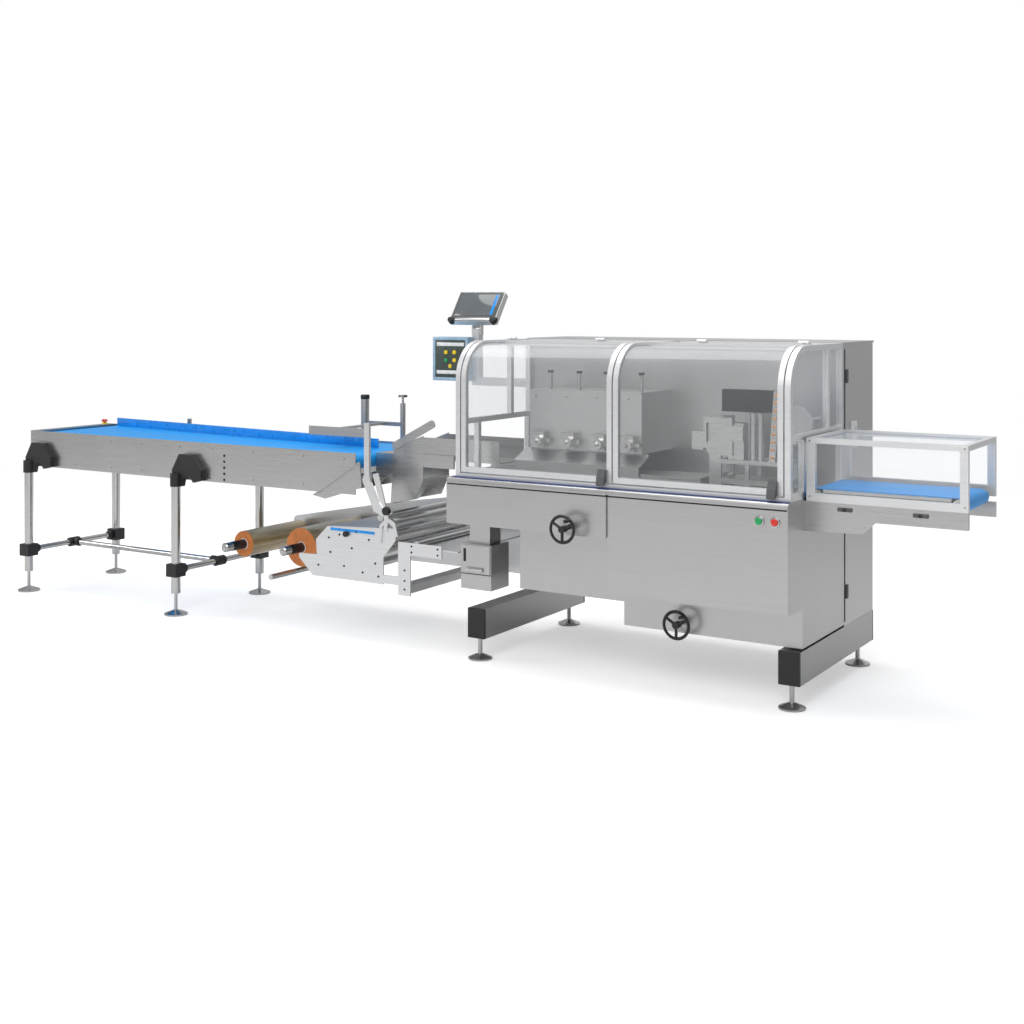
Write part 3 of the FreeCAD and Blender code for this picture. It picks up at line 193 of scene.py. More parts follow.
def clear_sheet(name, tint, haze=0.02):
    """Clear polycarbonate: mostly see-through, with a little surface gloss."""
    shader = Shader(name).set(Metallic=0.0, Transmission_Weight=0.0, IOR=1.45, Alpha=1.0)
    shader.set(Base_Color=(*tint, 1.0))
    soft = shader.noise((3.0, 3.0, 3.0), detail=2.0)
    shader.link(shader.ramp(soft, haze, haze + 0.05, 0.3, 0.7), shader.bsdf.inputs["Roughness"])
    facing = shader.nodes.new("ShaderNodeLayerWeight")
    facing.inputs["Blend"].default_value = 0.25
    shader.link(shader.ramp(facing.outputs["Fresnel"], 0.05, 0.30), shader.bsdf.inputs["Alpha"])
    shader.material.blend_method = "BLEND"
    return shader.material


def wound_film(name, tone, tint):
    """A film roll: wound layers on the round face, a glossy skin with long wrinkles."""
    shader = Shader(name).set(Metallic=0.0, Coat_Weight=0.7, Coat_Roughness=0.08)
    wrinkles = shader.noise((22.0, 2.2, 22.0), detail=4.0)
    layers = shader.noise((60.0, 3.0, 60.0), detail=3.0)
    shader.blend(shader.ramp(wrinkles, 0.0, 1.0, 0.35, 0.68), shade(tone, 0.62), shade(tint, 1.0))
    shader.link(shader.ramp(layers, 0.12, 0.38, 0.3, 0.7), shader.bsdf.inputs["Roughness"])
    return shader.bump(wrinkles, 0.5, 0.004).material


def flat_finish(name, tone, roughness=0.35, metallic=0.0, coat=0.0):
    """A small painted or plastic fitting with light unevenness."""
    shader = Shader(name).set(Metallic=metallic, Coat_Weight=coat)
    wear = shader.noise((35.0, 35.0, 35.0), detail=2.0)
    shader.blend(shader.ramp(wear, 0.0, 1.0, 0.35, 0.7), shade(tone, 0.88), shade(tone, 1.08))
    shader.link(shader.ramp(wear, roughness - 0.05, roughness + 0.07, 0.3, 0.7),
                shader.bsdf.inputs["Roughness"])
    return shader.material


def screen_glass(name, tone):
    """A dark touch screen with soft, cloudy changes of tone."""
    shader = Shader(name).set(Metallic=0.0, Coat_Weight=1.0, Coat_Roughness=0.03, Roughness=0.12)
    fade = shader.noise((5.0, 5.0, 5.0), detail=1.0)
    shader.blend(shader.ramp(fade, 0.0, 1.0, 0.3, 0.7), shade(tone, 0.8), shade(tone, 1.25))
    return shader.material


HORIZONTAL = (3.0, 3.0, 420.0)
LENGTHWISE = (4.0, 300.0, 300.0)
UPRIGHT = (300.0, 300.0, 4.0)
CROSSWISE = (300.0, 4.0, 300.0)
MATERIALS = {}


def make_materials(finish):
    steel, alu = tuple(finish.steel), tuple(finish.aluminium)
    MATERIALS.update({
        "housing steel": brushed_metal("housing steel", steel, HORIZONTAL, 0.34, 0.05),
        "sheet steel": brushed_metal("sheet steel", shade(steel, 1.02), LENGTHWISE, 0.30, 0.07),
        "beam steel": brushed_metal("beam steel", shade(steel, 0.82), CROSSWISE, 0.36, 0.06),
        "polished tube": brushed_metal("polished tube", shade(steel, 1.1), UPRIGHT, 0.16, 0.05, 0.04),
        "turned steel": brushed_metal("turned steel", steel, (200.0, 200.0, 200.0), 0.22, 0.06),
        "anodised profile": brushed_metal("anodised profile", alu, LENGTHWISE, 0.42, 0.05, 0.05),
        "plate aluminium": brushed_metal("plate aluminium", shade(alu, 0.95), LENGTHWISE, 0.38, 0.05, 0.06),
        "roller aluminium": brushed_metal("roller aluminium", shade(alu, 0.7), CROSSWISE, 0.24, 0.06),
        "black moulding": moulded("black moulding", tuple(finish.black)),
        "grey moulding": moulded("grey moulding", (0.085, 0.09, 0.095), 0.5),
        "rubber": moulded("rubber", (0.02, 0.02, 0.021), 0.7, 500.0, 0.3),
        "blue belt": belting("blue belt", tuple(finish.belt)),
        "clear sheet": clear_sheet("clear sheet", (0.93, 0.97, 1.0)),
        "wound film": wound_film("wound film", tuple(finish.film), (0.55, 0.42, 0.22)),
        "film core": flat_finish("film core", tuple(finish.core), 0.55),
        "red button": flat_finish("red button", (0.70, 0.02, 0.01), 0.3, 0.0, 0.5),
        "green button": flat_finish("green button", (0.0, 0.35, 0.09), 0.3, 0.0, 0.5),
        "yellow key": flat_finish("yellow key", (0.85, 0.62, 0.02), 0.35),
        "blue trim": flat_finish("blue trim", tuple(finish.blue_trim), 0.3, 0.0, 0.3),
        "navy gasket": flat_finish("navy gasket", (0.005, 0.03, 0.16), 0.5),
        "pale blue frame": flat_finish("pale blue frame", (0.32, 0.47, 0.60), 0.4),
        "screen": screen_glass("screen", (0.10, 0.115, 0.125)),
        "key field": flat_finish("key field", (0.05, 0.07, 0.06), 0.35),
        "white label": flat_finish("white label", (0.80, 0.80, 0.80), 0.4),
        "copper": flat_finish("copper", (0.70, 0.33, 0.12), 0.3, 1.0),
    })


NODE_FINISH = {
    "base_beams": "beam steel", "beam_end_caps": "black moulding", "levelling_feet": "turned steel",
    "lower_cabinet": "housing steel", "rear_cabinet": "housing steel", "front_panels": "housing steel",
    "deck": "sheet steel", "guard_end_frames": "anodised profile", "guard_rails": "anodised profile",
    "lid_left_frame": "anodised profile", "lid_right_frame": "anodised profile",
    "lid_left_window": "clear sheet", "lid_right_window": "clear sheet", "clear_panes": "clear sheet",
    "lid_left_grip": "grey moulding", "lid_right_grip": "grey moulding",
    "fin_seal_housing": "housing steel", "fin_seal_wheels": "turned steel",
    "jaw_frame": "sheet steel", "jaw_cylinders": "polished tube", "crimp_jaws": "turned steel",
    "outfeed_frame": "sheet steel", "outfeed_guard": "anodised profile", "belt_rollers": "turned steel",
    "conveyor_belts": "blue belt", "infeed_frame": "sheet steel", "stand_tubes": "polished tube",
    "stand_brackets": "black moulding", "stop_button_base": "yellow key", "stop_button": "red button",
    "reel_left_shaft": "turned steel", "reel_right_shaft": "turned steel",
    "reel_left_film": "wound film", "reel_right_film": "wound film",
    "film_back_plate": "plate aluminium", "carriage_plate": "plate aluminium",
    "carriage_rollers": "roller aluminium", "forming_box": "sheet steel", "product_guides": "sheet steel",
    "panel_support": "plate aluminium", "operator_panel": "plate aluminium",
    "control_box": "pale blue frame", "handwheel_upper": "black moulding",
    "handwheel_lower": "black moulding", "junction_box": "housing steel",
}


# ---- modelling helpers ---------------------------------------------------------------------------


class Piece:
    """One mesh piece: bmesh shapes are added to it with a material each, then it is placed."""

    def __init__(self, name, *finishes):
        self.name = name
        self.finishes = finishes
        self.mesh = bmesh.new()

    def _paint(self, before, finish, matrix):
        new_verts = [v for v in self.mesh.verts if v not in before]
        if matrix is not None:
            bmesh.ops.transform(self.mesh, matrix=matrix, verts=new_verts)
        index = self.finishes.index(finish) if finish else 0
        for face in {f for v in new_verts for f in v.link_faces}:
            face.material_index = index

    def block(self, low, high, finish=None, bevel=0.0, segments=2, matrix=None):
        before = set(self.mesh.verts)
        low, high = Vector(low), Vector(high)
        made = bmesh.ops.create_cube(self.mesh, size=1.0)
        place = Matrix.Translation((low + high) / 2) @ Matrix.Diagonal((*(high - low), 1.0))
        bmesh.ops.transform(self.mesh, matrix=place, verts=made["verts"])
        if bevel:
            edges = list({e for v in made["verts"] for e in v.link_edges})
            bmesh.ops.bevel(self.mesh, geom=edges, offset=bevel, segments=segments, profile=0.5,
                            affect="EDGES", material=-1)
        self._paint(before, finish, matrix)
        return self

    def panel(self, origin, start, end, finish, bevel=0.0):
        """A block between two corners that are given as offsets from an origin."""
        return self.block(origin + Vector(start), origin + Vector(end), finish, bevel)

    def peg(self, origin, start, end, radius, finish, steps=24, bevel=0.0):
        """A rod between two points that are given as offsets from an origin."""
        return self.rod(origin + Vector(start), origin + Vector(end), radius, finish, steps, bevel=bevel)

    def rod(self, start, end, radius, finish=None, steps=24, top=None, bevel=0.0, matrix=None):
        before = set(self.mesh.verts)
        start, end = Vector(start), Vector(end)
        along = end - start
        turn = along.to_track_quat("Z", "Y").to_matrix().to_4x4()
        made = bmesh.ops.create_cone(
            self.mesh, cap_ends=True, segments=steps, radius1=radius,
            radius2=radius if top is None else top, depth=along.length,
        )
        place = Matrix.Translation((start + end) / 2) @ turn
        bmesh.ops.transform(self.mesh, matrix=place, verts=made["verts"])
        if bevel:
            rims = [e for v in made["verts"] for e in v.link_edges if abs(
                (e.verts[0].co - e.verts[1].co).dot(along.normalized())) < 1e-7]
            bmesh.ops.bevel(self.mesh, geom=list(set(rims)), offset=bevel, segments=2, profile=0.5,
                            affect="EDGES", material=-1)
        self._paint(before, finish, matrix)
        return self

    def ring(self, centre, axis, radius, thickness, finish=None, steps=32, sides=10, matrix=None):
        """A round ring, spun from a small circle."""
        before = set(self.mesh.verts)
        axis = Vector(axis).normalized()
        turn = axis.to_track_quat("Z", "Y").to_matrix().to_4x4()
        made = bmesh.ops.create_circle(self.mesh, cap_ends=False, segments=sides, radius=thickness)
        upright = Matrix.Translation((radius, 0, 0)) @ Matrix.Rotation(math.pi / 2, 4, "X")
        bmesh.ops.transform(self.mesh, matrix=upright, verts=made["verts"])
        edges = list({e for v in made["verts"] for e in v.link_edges})
        bmesh.ops.spin(self.mesh, geom=made["verts"] + edges, cent=(0, 0, 0), axis=(0, 0, 1),
                       angle=2 * math.pi, steps=steps, use_merge=True)
        new_verts = [v for v in self.mesh.verts if v not in before]
        bmesh.ops.remove_doubles(self.mesh, verts=new_verts, dist=1e-6)
        new_verts = [v for v in self.mesh.verts if v not in before]
        bmesh.ops.transform(self.mesh, matrix=Matrix.Translation(Vector(centre)) @ turn, verts=new_verts)
        self._paint(before, finish, matrix)
        return self

    def bolt(self, place, normal, radius, finish=None):
        """A low button head."""
        place, normal = Vector(place), Vector(normal).normalized()
        self.rod(place, place + normal * radius * 0.55, radius, finish, steps=16, top=radius * 0.82)
        return self

    def done(self, body, smooth=True):
        bmesh.ops.recalc_face_normals(self.mesh, faces=self.mesh.faces)
        mesh = bpy.data.meshes.new(self.name)
        self.mesh.to_mesh(mesh)
        self.mesh.free()
        for finish in self.finishes:
            mesh.materials.append(MATERIALS[finish])
        if smooth:
            mesh.shade_smooth()
            mesh.set_sharp_from_angle(angle=math.radians(32))
        piece = bpy.data.objects.new(self.name, mesh)
        bpy.context.scene.collection.objects.link(piece)
        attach(piece, body)
        return piece


# ---- the pieces ----------------------------------------------------------------------------------


class FLOWWRAP_OT_finishes(bpy.types.Operator):
    """Give every CAD node its finish"""

    bl_idname = "flowwrap.finishes"
    bl_label = "Node finishes"

    def execute(self, context):
        make_materials(context.scene.wrapper_finishes)
        for name, node in frame["nodes"].items():
            node.data.materials.clear()
            node.data.materials.append(MATERIALS[NODE_FINISH[name]])
        return {"FINISHED"}


class FLOWWRAP_OT_operator_panel(bpy.types.Operator):
    """Build the touch screen's bezel, display, strip and corner grips"""

    bl_idname = "flowwrap.operator_panel"
    bl_label = "Operator panel"

    def execute(self, context):
        bezel = context.scene.wrapper_sizes.bezel
        joint = next(j for j in frame["joints"] if j["name"] == "panel_tilt")
        place = Matrix.Translation(Vector(joint["pos_m"])) @ Matrix.Rotation(math.radians(-35), 4, "X")
        half, bottom, top = 0.1375, -0.012, 0.171
        face = -0.026 - 0.034
        finishes = ("grey moulding", "screen", "blue trim", "plate aluminium", "black moulding")
        piece = Piece("screen_face", *finishes)
        piece.block((-half + 0.006, face - 0.003, bottom + 0.006), (half - 0.006, face, top - 0.006),
                    "grey moulding", 0.001, matrix=place)
        piece.block((-half + bezel, face - 0.0042, bottom + bezel + 0.012),
                    (half - bezel, face - 0.0026, top - bezel), "screen", 0.0005, matrix=place)
        piece.block((half - bezel - 0.022, face - 0.0052, bottom + bezel + 0.016),
                    (half - bezel - 0.006, face - 0.004, top - bezel - 0.004), "blue trim", 0.0004,
                    matrix=place)
        piece.block((-half + 0.03, face - 0.0052, bottom + 0.004),
                    (half - 0.03, face - 0.002, bottom + 0.018), "plate aluminium", 0.001, matrix=place)
        for side in (-1, 1):
            x = side * (half - 0.012)
            piece.rod((x, face + 0.018, bottom + 0.006), (x, face - 0.012, bottom + 0.006), 0.017,
                      "black moulding", 24, bevel=0.004, matrix=place)
            piece.block((x - 0.022, face - 0.008, bottom + 0.002),
                        (x + 0.022, face + 0.012, bottom + 0.022), "black moulding", 0.005, matrix=place)
        piece.done("operator_panel")
        return {"FINISHED"}


class FLOWWRAP_OT_control_box(bpy.types.Operator):
    """Build the key field of the control box"""

    bl_idname = "flowwrap.control_box"
    bl_label = "Control box"

    def execute(self, context):
        low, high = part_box("control_box")
        y = low.y
        piece = Piece("key_panel", "pale blue frame", "key field", "yellow key", "green button",
                      "white label")
        rim = 0.016
        piece.block((low.x, y - 0.006, low.z), (high.x, y, low.z + rim), "pale blue frame", 0.003)
        piece.block((low.x, y - 0.006, high.z - rim), (high.x, y, high.z), "pale blue frame", 0.003)
        piece.block((low.x, y - 0.006, low.z + rim - 0.003), (low.x + rim, y, high.z - rim + 0.003),
                    "pale blue frame", 0.003)
        piece.block((high.x - rim, y - 0.006, low.z + rim - 0.003), (high.x, y, high.z - rim + 0.003),
                    "pale blue frame", 0.003)
        piece.block((low.x + rim, y - 0.003, low.z + rim), (high.x - rim, y, high.z - rim),
                    "key field", 0.001)
        inner_x, inner_z = low.x + rim + 0.014, high.z - rim - 0.030
        piece.block((inner_x - 0.006, y - 0.004, inner_z),
                    (high.x - rim - 0.008, y - 0.002, inner_z + 0.018), "white label", 0.001)
        piece.block((inner_x - 0.006, y - 0.004, low.z + rim + 0.018),
                    (high.x - rim - 0.008, y - 0.002, low.z + rim + 0.036), "white label", 0.001)
        keys = ((0.052, 0.052, "yellow key"), (0.104, 0.052, "yellow key"), (0.052, 0.092, "green button"),
                (0.104, 0.092, "yellow key"), (0.078, 0.122, "yellow key"))
        for dx, dz, finish in keys:
            x, z = inner_x + dx, high.z - rim - dz - 0.01
            piece.rod((x, y - 0.002, z), (x, y - 0.008, z), 0.011, finish, 20, bevel=0.002)
        piece.done("machine")
        return {"FINISHED"}


class FLOWWRAP_OT_side_plate_bolts(bpy.types.Operator):
    """Set the screw heads of the infeed and outfeed plates"""

    bl_idname = "flowwrap.side_plate_bolts"
    bl_label = "Plate screws"

    def execute(self, context):
        radius = context.scene.wrapper_sizes.bolt_radius
        piece = Piece("plate_screws", "turned steel")
        low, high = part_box("infeed_frame")
        for share in (0.06, 0.16, 0.28, 0.38, 0.5, 0.6, 0.72, 0.86, 0.97):
            x = low.x + (high.x - low.x) * share
            for z in (low.z + 0.03, high.z - 0.03):
                for y, way in ((low.y, -1), (high.y, 1)):
                    piece.bolt((x, y, z), (0, way, 0), radius)
        low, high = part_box("outfeed_guard")
        for x in (low.x + 0.013, high.x - 0.013):
            for z in (low.z + 0.06, high.z - 0.012):
                piece.bolt((x, low.y, z), (0, -1, 0), radius * 0.7)
        piece.done("machine")
        return {"FINISHED"}


class FLOWWRAP_OT_front_fittings(bpy.types.Operator):
    """Set the push buttons, the gasket line and the seam under the deck"""

    bl_idname = "flowwrap.front_fittings"
    bl_label = "Front fittings"

    def execute(self, context):
        low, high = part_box("front_panels")
        deck_low, deck_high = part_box("deck")
        piece = Piece("front_fittings", "turned steel", "green button", "red button", "navy gasket", "rubber")
        for inset, finish in ((0.118, "green button"), (0.052, "red button")):
            centre = Vector((high.x - inset, low.y, high.z - 0.055))
            piece.peg(centre, (0, 0, 0), (0, -0.006, 0), 0.021, "turned steel", 32, bevel=0.002)
            piece.peg(centre, (0, -0.005, 0), (0, -0.013, 0), 0.015, finish, 32, bevel=0.003)
        run = deck_high.x - deck_low.x
        edge = Vector((deck_low.x, deck_low.y, deck_high.z))
        piece.panel(edge, (0.02, 0.012, -0.001), (run, 0.036, 0.002), "navy gasket", 0.001)
        seam = Vector((deck_low.x, low.y, high.z))
        piece.panel(seam, (0.004, -0.0012, -0.010), (run - 0.004, 0.001, -0.004), "rubber", 0.0004)
        piece.done("machine")
        return {"FINISHED"}


class FLOWWRAP_OT_cabinet_back(bpy.types.Operator):
    """Set the rear cabinet's seams, its ribbed side vent, its hinges and its door pulls"""

    bl_idname = "flowwrap.cabinet_back"
    bl_label = "Rear cabinet fittings"

    def execute(self, context):
        low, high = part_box("rear_cabinet")
        rim, vent_ribs, rib_pitch = 0.004, 6, 0.016
        height = high.z - low.z
        vent_height = height * 0.62
        piece = Piece("cabinet_fittings", "rubber", "white label", "grey moulding")
        side = Vector((high.x - rim, low.y, low.z))
        piece.panel(side, (-0.001, 0.004, 0.02), (0.0015, 0.012, height - 0.03), "rubber")
        piece.panel(side, (-0.001, 0.09, vent_height), (0.010, 0.15, vent_height + 0.12),
                    "white label", 0.004)
        for rib in range(vent_ribs):
            z = vent_height + 0.016 + rib * rib_pitch
            piece.panel(side, (0.008, 0.096, z), (0.013, 0.144, z + 0.007), "white label", 0.002)
        for share in (0.12, 0.5, 0.88):
            z = height * share
            piece.panel(side, (-0.001, 0.02, z - 0.03), (0.006, 0.045, z + 0.03), "grey moulding", 0.003)
        back = Vector(((low.x + high.x) / 2, high.y - rim, low.z))
        piece.panel(back, (-0.002, -0.001, 0.03), (0.002, 0.001, height - 0.04), "rubber")
        for x in (-0.06, 0.06):
            piece.panel(back, (x - 0.016, -0.001, vent_height - 0.05), (x + 0.016, 0.004, vent_height + 0.05),
                        "grey moulding", 0.004)
        piece.done("machine")
        return {"FINISHED"}


class FLOWWRAP_OT_reel_faces(bpy.types.Operator):
    """Set the core faces of the film rolls and the sleeves of their shafts"""

    bl_idname = "flowwrap.reel_faces"
    bl_label = "Reel faces"

    def execute(self, context):
        for side in ("left", "right"):
            low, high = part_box(f"reel_{side}_film")
            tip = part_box(f"reel_{side}_shaft")[0].y
            axis = Vector(((low.x + high.x) / 2, 0.0, (low.z + high.z) / 2))
            radius = (high.x - low.x) / 2
            core = Piece(f"core_{side}", "film core", "white label")
            core.peg(axis, (0, low.y + 0.0002, 0), (0, low.y - 0.003, 0), radius * 0.985, "film core", 64)
            core.ring(axis + Vector((0, low.y - 0.003, 0)), (0, 1, 0), 0.0275, 0.0022, "white label", 48, 8)
            core.done(f"reel_{side}")
            cap = Piece(f"shaft_cap_{side}", "black moulding", "turned steel")
            cap.peg(axis, (0, tip + 0.05, 0), (0, low.y - 0.004, 0), 0.0245, "black moulding", 40, 0.001)
            cap.peg(axis, (0, tip - 0.002, 0), (0, tip + 0.003, 0), 0.012, "turned steel", 32, 0.001)
            cap.done(f"reel_{side}")
        return {"FINISHED"}


# Screws of the cheek plate: share of the carriage's length, and height over the first row.
CHEEK_SCREWS = (
    (0.13, 0.06), (0.21, 0.13), (0.3, 0.07), (0.35, 0.16), (0.42, 0.05), (0.46, 0.21), (0.5, 0.1),
    (0.27, 0.22), (0.38, 0.24), (0.2, 0.2), (0.52, 0.04),
)
FIRST_ROW = 0.035
STAY_STAND_OFF = 0.020


class FLOWWRAP_OT_carriage_fittings(bpy.types.Operator):
    """Set the blue trim, the clamp knobs and the screws of the film carriage"""

    bl_idname = "flowwrap.carriage_fittings"
    bl_label = "Film carriage fittings"

    def execute(self, context):
        low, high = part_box("carriage_plate")
        corner = Vector((low.x, low.y + STAY_STAND_OFF, low.z))
        outer = Vector((high.x, corner.y, low.z))
        forward = (0, -1, 0)
        screws = Piece("carriage_screws", "black moulding", "blue trim", "rubber")
        for share, height in CHEEK_SCREWS:
            place = corner + Vector(((high.x - low.x) * share, 0, FIRST_ROW + height))
            screws.bolt(place, forward, 0.0055, "rubber")
        arm = [(x, z) for x in (-0.260, -0.110) for z in (0.236, 0.208)]
        leg = [(-0.300, z) for z in (0.12, 0.07, 0.03)]
        for x, z in arm + leg:
            screws.bolt(outer + Vector((x, 0, z)), forward, 0.005, "rubber")
        screws.peg(corner, (0.555, -0.008, 0.395), (0.555, -0.030, 0.395), 0.021, "black moulding", 24, 0.004)
        screws.peg(corner, (0.30, 0, 0.262), (0.30, -0.016, 0.262), 0.014, "black moulding", 24, 0.003)
        screws.panel(corner, (0.20, -0.002, 0.272), (0.47, 0.001, 0.286), "blue trim", 0.001)
        screws.done("machine")
        return {"FINISHED"}


class FLOWWRAP_OT_sealing_fittings(bpy.types.Operator):
    """Set the fin-seal housing's studs and screws, the column's links and the black wall panel"""

    bl_idname = "flowwrap.sealing_fittings"
    bl_label = "Sealing unit fittings"

    def execute(self, context):
        low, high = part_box("fin_seal_housing")
        run, tray_reach, stud_height = high.x - low.x, 0.092, 0.075
        piece = Piece("sealing_fittings", "turned steel", "black moulding")
        for share in (0.16, 0.4, 0.62, 0.9):
            foot = Vector((low.x + run * share, low.y + 0.16, high.z))
            piece.peg(foot, (0, 0, 0), (0, 0, stud_height), 0.009, "turned steel")
            piece.peg(foot, (0, 0, stud_height), (0, 0, 0.087), 0.014, "black moulding", bevel=0.002)
        for share in (0.1, 0.35, 0.6, 0.85):
            for z in (low.z + 0.15, high.z - 0.03):
                place = (low.x + run * share, low.y + tray_reach, z)
                piece.bolt(place, (0, -1, 0), 0.006, "turned steel")
        piece.done("machine")
        low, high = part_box("jaw_cylinders")
        links, lean = 9, 0.022
        jaws = Piece("jaw_fittings", "copper", "rubber")
        column = Vector((high.x - 0.036, low.y, low.z))
        for link in range(links):
            share = (link + 0.5) / links
            x, z = lean * share, (high.z - low.z) * share
            jaws.peg(column, (x, 0, z), (x, -0.008, z), 0.006, "copper", 16)
        wall = Vector((low.x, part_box("rear_cabinet")[0].y, high.z))
        jaws.panel(wall, (-0.17, -0.012, -0.12), (0.10, 0, -0.02), "rubber", 0.003)
        jaws.done("machine")
        return {"FINISHED"}


class FLOWWRAP_OT_latches(bpy.types.Operator):
    """Set the outfeed guard's latches, and the small box's latch, vent slot and seam"""

    bl_idname = "flowwrap.latches"
    bl_label = "Latches"

    def execute(self, context):
        low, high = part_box("outfeed_guard")
        latch = Piece("outfeed_latches", "black moulding", "grey moulding")
        for share in (0.25, 0.72):
            foot = Vector((low.x + (high.x - low.x) * share, low.y, low.z))
            latch.panel(foot, (-0.03, -0.007, 0.008), (0.03, 0, 0.024), "grey moulding", 0.003)
            latch.peg(foot, (0, -0.004, 0.016), (0, -0.010, 0.016), 0.007, "black moulding", 20)
        latch.done("machine")
        low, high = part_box("junction_box")
        run = high.x - low.x
        piece = Piece("box_latch", "turned steel", "rubber")
        piece.panel(low, (0.018, -0.002, 0.125), (0.032, 0.002, 0.185), "rubber", 0.002)
        piece.panel(low, (0.035, -0.009, 0.083), (0.125, -0.002, 0.101), "turned steel", 0.003)
        piece.peg(low, (0.045, 0, 0.092), (0.045, -0.010, 0.092), 0.011, "turned steel", 24, 0.002)
        piece.panel(low, (0.004, -0.001, 0.069), (run - 0.004, 0.004, 0.073), "rubber")
        piece.done("machine")
        return {"FINISHED"}


class FLOWWRAP_OT_infeed_fittings(bpy.types.Operator):
    """Set the side plate's column of holes, the hold-down's cap and star knob, and the blue fence"""

    bl_idname = "flowwrap.infeed_fittings"
    bl_label = "Infeed fittings"

    def execute(self, context):
        low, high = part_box("infeed_frame")
        holes = Piece("infeed_holes", "rubber")
        column = Vector((high.x - 0.856, low.y, low.z + 0.016))
        for step in range(5):
            z = 0.031 * step
            holes.peg(column, (0, -0.0012, z), (0, 0.001, z), 0.007, "rubber")
        holes.done("machine")
        low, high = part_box("product_guides")
        knobs = Piece("hold_down_knobs", "black moulding", "blue trim")
        post = Vector((low.x + 1.830, high.y - 0.022, high.z))
        knobs.peg(post, (0, 0, -0.030), (0, 0, -0.007), 0.024, "black moulding", 24, 0.002)
        stem = post + Vector((0.250, 0, -0.006))
        for turn in range(4):
            angle = math.radians(45 + 90 * turn)
            tip = (0.03 * math.cos(angle), 0.012 * math.sin(angle), 0)
            knobs.peg(stem, (0, 0, 0), tip, 0.006, "black moulding", 12)
        belt_top, fence_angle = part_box("conveyor_belts")[1].z, math.radians(-6)
        board = Matrix.Translation((low.x, high.y - 0.083, belt_top + 0.0015))
        slant = board @ Matrix.Rotation(fence_angle, 4, "Z")
        knobs.block((0.001, -0.0015, 0.0), (2.149, 0.0055, 0.0465), "blue trim", 0.001, matrix=slant)
        knobs.done("machine")
        return {"FINISHED"}


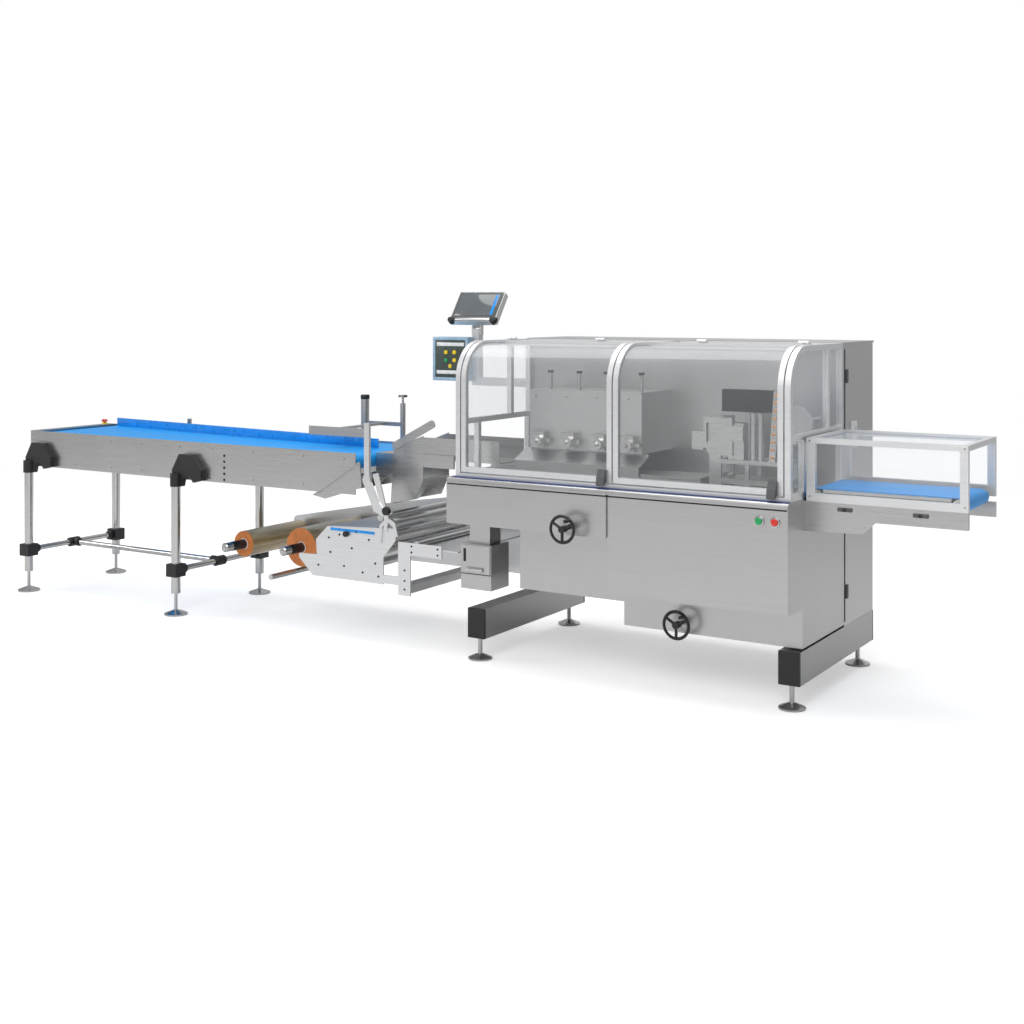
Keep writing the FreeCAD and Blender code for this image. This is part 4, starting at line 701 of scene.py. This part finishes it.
class FLOWWRAP_OT_stage(bpy.types.Operator):
    """Build the pale studio: floor, lights, world and camera"""

    bl_idname = "flowwrap.stage"
    bl_label = "Studio stage"

    def execute(self, context):
        scene = context.scene
        if scene.wrapper_sizes.show_floor:
            floor_mesh = bmesh.new()
            bmesh.ops.create_grid(floor_mesh, x_segments=1, y_segments=1, size=40.0)
            mesh = bpy.data.meshes.new("studio_floor")
            floor_mesh.to_mesh(mesh)
            floor_mesh.free()
            floor = bpy.data.objects.new("studio_floor", mesh)
            floor.location.z = -0.0005
            scene.collection.objects.link(floor)
            mesh.materials.append(self.floor_material())
        self.world(scene)
        self.lamp("key_light", (2.5, -6.5, 5.5), (0.2, 0.0, 0.6), 5.0, 230.0)
        self.lamp("left_light", (-7.0, -3.5, 4.5), (-0.5, 0.0, 0.7), 4.0, 150.0)
        self.lamp("top_light", (0.0, 0.5, 6.0), (0.0, 0.0, 0.5), 6.0, 190.0)
        camera = bpy.data.cameras.new("camera")
        camera.lens = 49.1
        camera.sensor_width = 36.0
        camera.shift_y = -0.202
        camera.clip_end = 200.0
        holder = bpy.data.objects.new("camera", camera)
        holder.location = (3.9585, -5.671, 1.62)
        holder.rotation_euler = (math.pi / 2, 0.0, math.radians(32.05))
        scene.collection.objects.link(holder)
        scene.camera = holder
        scene.view_settings.view_transform = "Standard"
        return {"FINISHED"}

    def floor_material(self):
        material = bpy.data.materials.new("studio floor")
        material.use_nodes = True
        nodes, links = material.node_tree.nodes, material.node_tree.links
        nodes.clear()
        out = nodes.new("ShaderNodeOutputMaterial")
        plain = nodes.new("ShaderNodeBsdfDiffuse")
        plain.inputs["Color"].default_value = (0.80, 0.80, 0.80, 1.0)
        glow = nodes.new("ShaderNodeEmission")
        path = nodes.new("ShaderNodeLightPath")
        share = nodes.new("ShaderNodeMath")
        share.operation = "MULTIPLY"
        share.inputs[1].default_value = 0.42
        coords = nodes.new("ShaderNodeTexCoord")
        reach = nodes.new("ShaderNodeVectorMath")
        reach.operation = "LENGTH"
        fade = nodes.new("ShaderNodeMapRange")
        fade.inputs["From Min"].default_value = 4.5
        fade.inputs["From Max"].default_value = 8.0
        white = nodes.new("ShaderNodeEmission")
        white.inputs["Strength"].default_value = 1.0
        far = nodes.new("ShaderNodeMath")
        far.operation = "MULTIPLY"
        whole = nodes.new("ShaderNodeMixShader")
        links.new(coords.outputs["Object"], reach.inputs[0])
        links.new(reach.outputs["Value"], fade.inputs["Value"])
        links.new(fade.outputs["Result"], far.inputs[0])
        links.new(path.outputs["Is Camera Ray"], far.inputs[1])
        links.new(far.outputs[0], whole.inputs["Fac"])
        both = nodes.new("ShaderNodeAddShader")
        links.new(path.outputs["Is Camera Ray"], share.inputs[0])
        links.new(share.outputs[0], glow.inputs["Strength"])
        links.new(plain.outputs[0], both.inputs[0])
        links.new(glow.outputs[0], both.inputs[1])
        links.new(both.outputs[0], whole.inputs[1])
        links.new(white.outputs[0], whole.inputs[2])
        links.new(whole.outputs[0], out.inputs["Surface"])
        return material

    def world(self, scene):
        """White to the camera; for light and reflections, bright in front and above, darker aside."""
        world = bpy.data.worlds.new("studio")
        scene.world = world
        world.use_nodes = True
        nodes, links = world.node_tree.nodes, world.node_tree.links
        nodes.clear()
        out = nodes.new("ShaderNodeOutputWorld")
        coords = nodes.new("ShaderNodeTexCoord")
        split = nodes.new("ShaderNodeSeparateXYZ")
        links.new(coords.outputs["Generated"], split.inputs[0])
        ramp = nodes.new("ShaderNodeValToRGB")
        ramp.color_ramp.elements[0].position = 0.0
        ramp.color_ramp.elements[0].color = (0.34, 0.345, 0.35, 1.0)
        ramp.color_ramp.elements[1].position = 1.0
        ramp.color_ramp.elements[1].color = (0.26, 0.265, 0.27, 1.0)
        for position, level in ((0.22, 0.62), (0.42, 0.95), (0.62, 0.80), (0.80, 0.40)):
            element = ramp.color_ramp.elements.new(position)
            element.color = (level, level, level * 1.01, 1.0)
        side = nodes.new("ShaderNodeMapRange")
        side.inputs["From Min"].default_value = -1.0
        links.new(split.outputs["X"], side.inputs["Value"])
        links.new(side.outputs["Result"], ramp.inputs["Fac"])
        light = nodes.new("ShaderNodeBackground")
        light.inputs["Strength"].default_value = 0.8
        links.new(ramp.outputs["Color"], light.inputs["Color"])
        white = nodes.new("ShaderNodeBackground")
        white.inputs["Color"].default_value = (1.0, 1.0, 1.0, 1.0)
        path = nodes.new("ShaderNodeLightPath")
        seen = nodes.new("ShaderNodeMath")
        seen.operation = "MAXIMUM"
        links.new(path.outputs["Is Camera Ray"], seen.inputs[0])
        links.new(path.outputs["Is Transmission Ray"], seen.inputs[1])
        mix = nodes.new("ShaderNodeMixShader")
        links.new(seen.outputs[0], mix.inputs["Fac"])
        links.new(light.outputs[0], mix.inputs[1])
        links.new(white.outputs[0], mix.inputs[2])
        links.new(mix.outputs[0], out.inputs["Surface"])

    def lamp(self, name, place, target, size, watts):
        light = bpy.data.lights.new(name, "AREA")
        light.shape = "DISK"
        light.size = size
        light.energy = watts
        lamp = bpy.data.objects.new(name, light)
        lamp.location = place
        aim = Vector(target) - Vector(place)
        lamp.rotation_euler = aim.to_track_quat("-Z", "Y").to_euler()
        bpy.context.scene.collection.objects.link(lamp)


PIECES = (
    FLOWWRAP_OT_finishes,
    FLOWWRAP_OT_operator_panel,
    FLOWWRAP_OT_control_box,
    FLOWWRAP_OT_side_plate_bolts,
    FLOWWRAP_OT_front_fittings,
    FLOWWRAP_OT_cabinet_back,
    FLOWWRAP_OT_reel_faces,
    FLOWWRAP_OT_carriage_fittings,
    FLOWWRAP_OT_sealing_fittings,
    FLOWWRAP_OT_latches,
    FLOWWRAP_OT_infeed_fittings,
    FLOWWRAP_OT_stage,
)


class FLOWWRAP_PT_build(bpy.types.Panel):
    """Lists the wrapper's sizes, finishes and building steps"""

    bl_idname = "FLOWWRAP_PT_build"
    bl_label = "Flow wrapper"
    bl_space_type = "VIEW_3D"
    bl_region_type = "UI"
    bl_category = "Flow wrapper"

    def draw(self, context):
        for group in (context.scene.wrapper_sizes, context.scene.wrapper_finishes):
            for name in group.__annotations__:
                self.layout.prop(group, name)
        for piece in PIECES:
            self.layout.operator(piece.bl_idname)


CLASSES = (WrapperFinishes, WrapperSizes, *PIECES, FLOWWRAP_PT_build)


def register():
    for item in CLASSES:
        bpy.utils.register_class(item)
    bpy.types.Scene.wrapper_finishes = PointerProperty(type=WrapperFinishes)
    bpy.types.Scene.wrapper_sizes = PointerProperty(type=WrapperSizes)


def unregister():
    del bpy.types.Scene.wrapper_sizes
    del bpy.types.Scene.wrapper_finishes
    for item in reversed(CLASSES):
        bpy.utils.unregister_class(item)


def main():
    register()
    for piece in PIECES:
        group, name = piece.bl_idname.split(".")
        getattr(getattr(bpy.ops, group), name)()


if __name__ == "__main__":
    main()
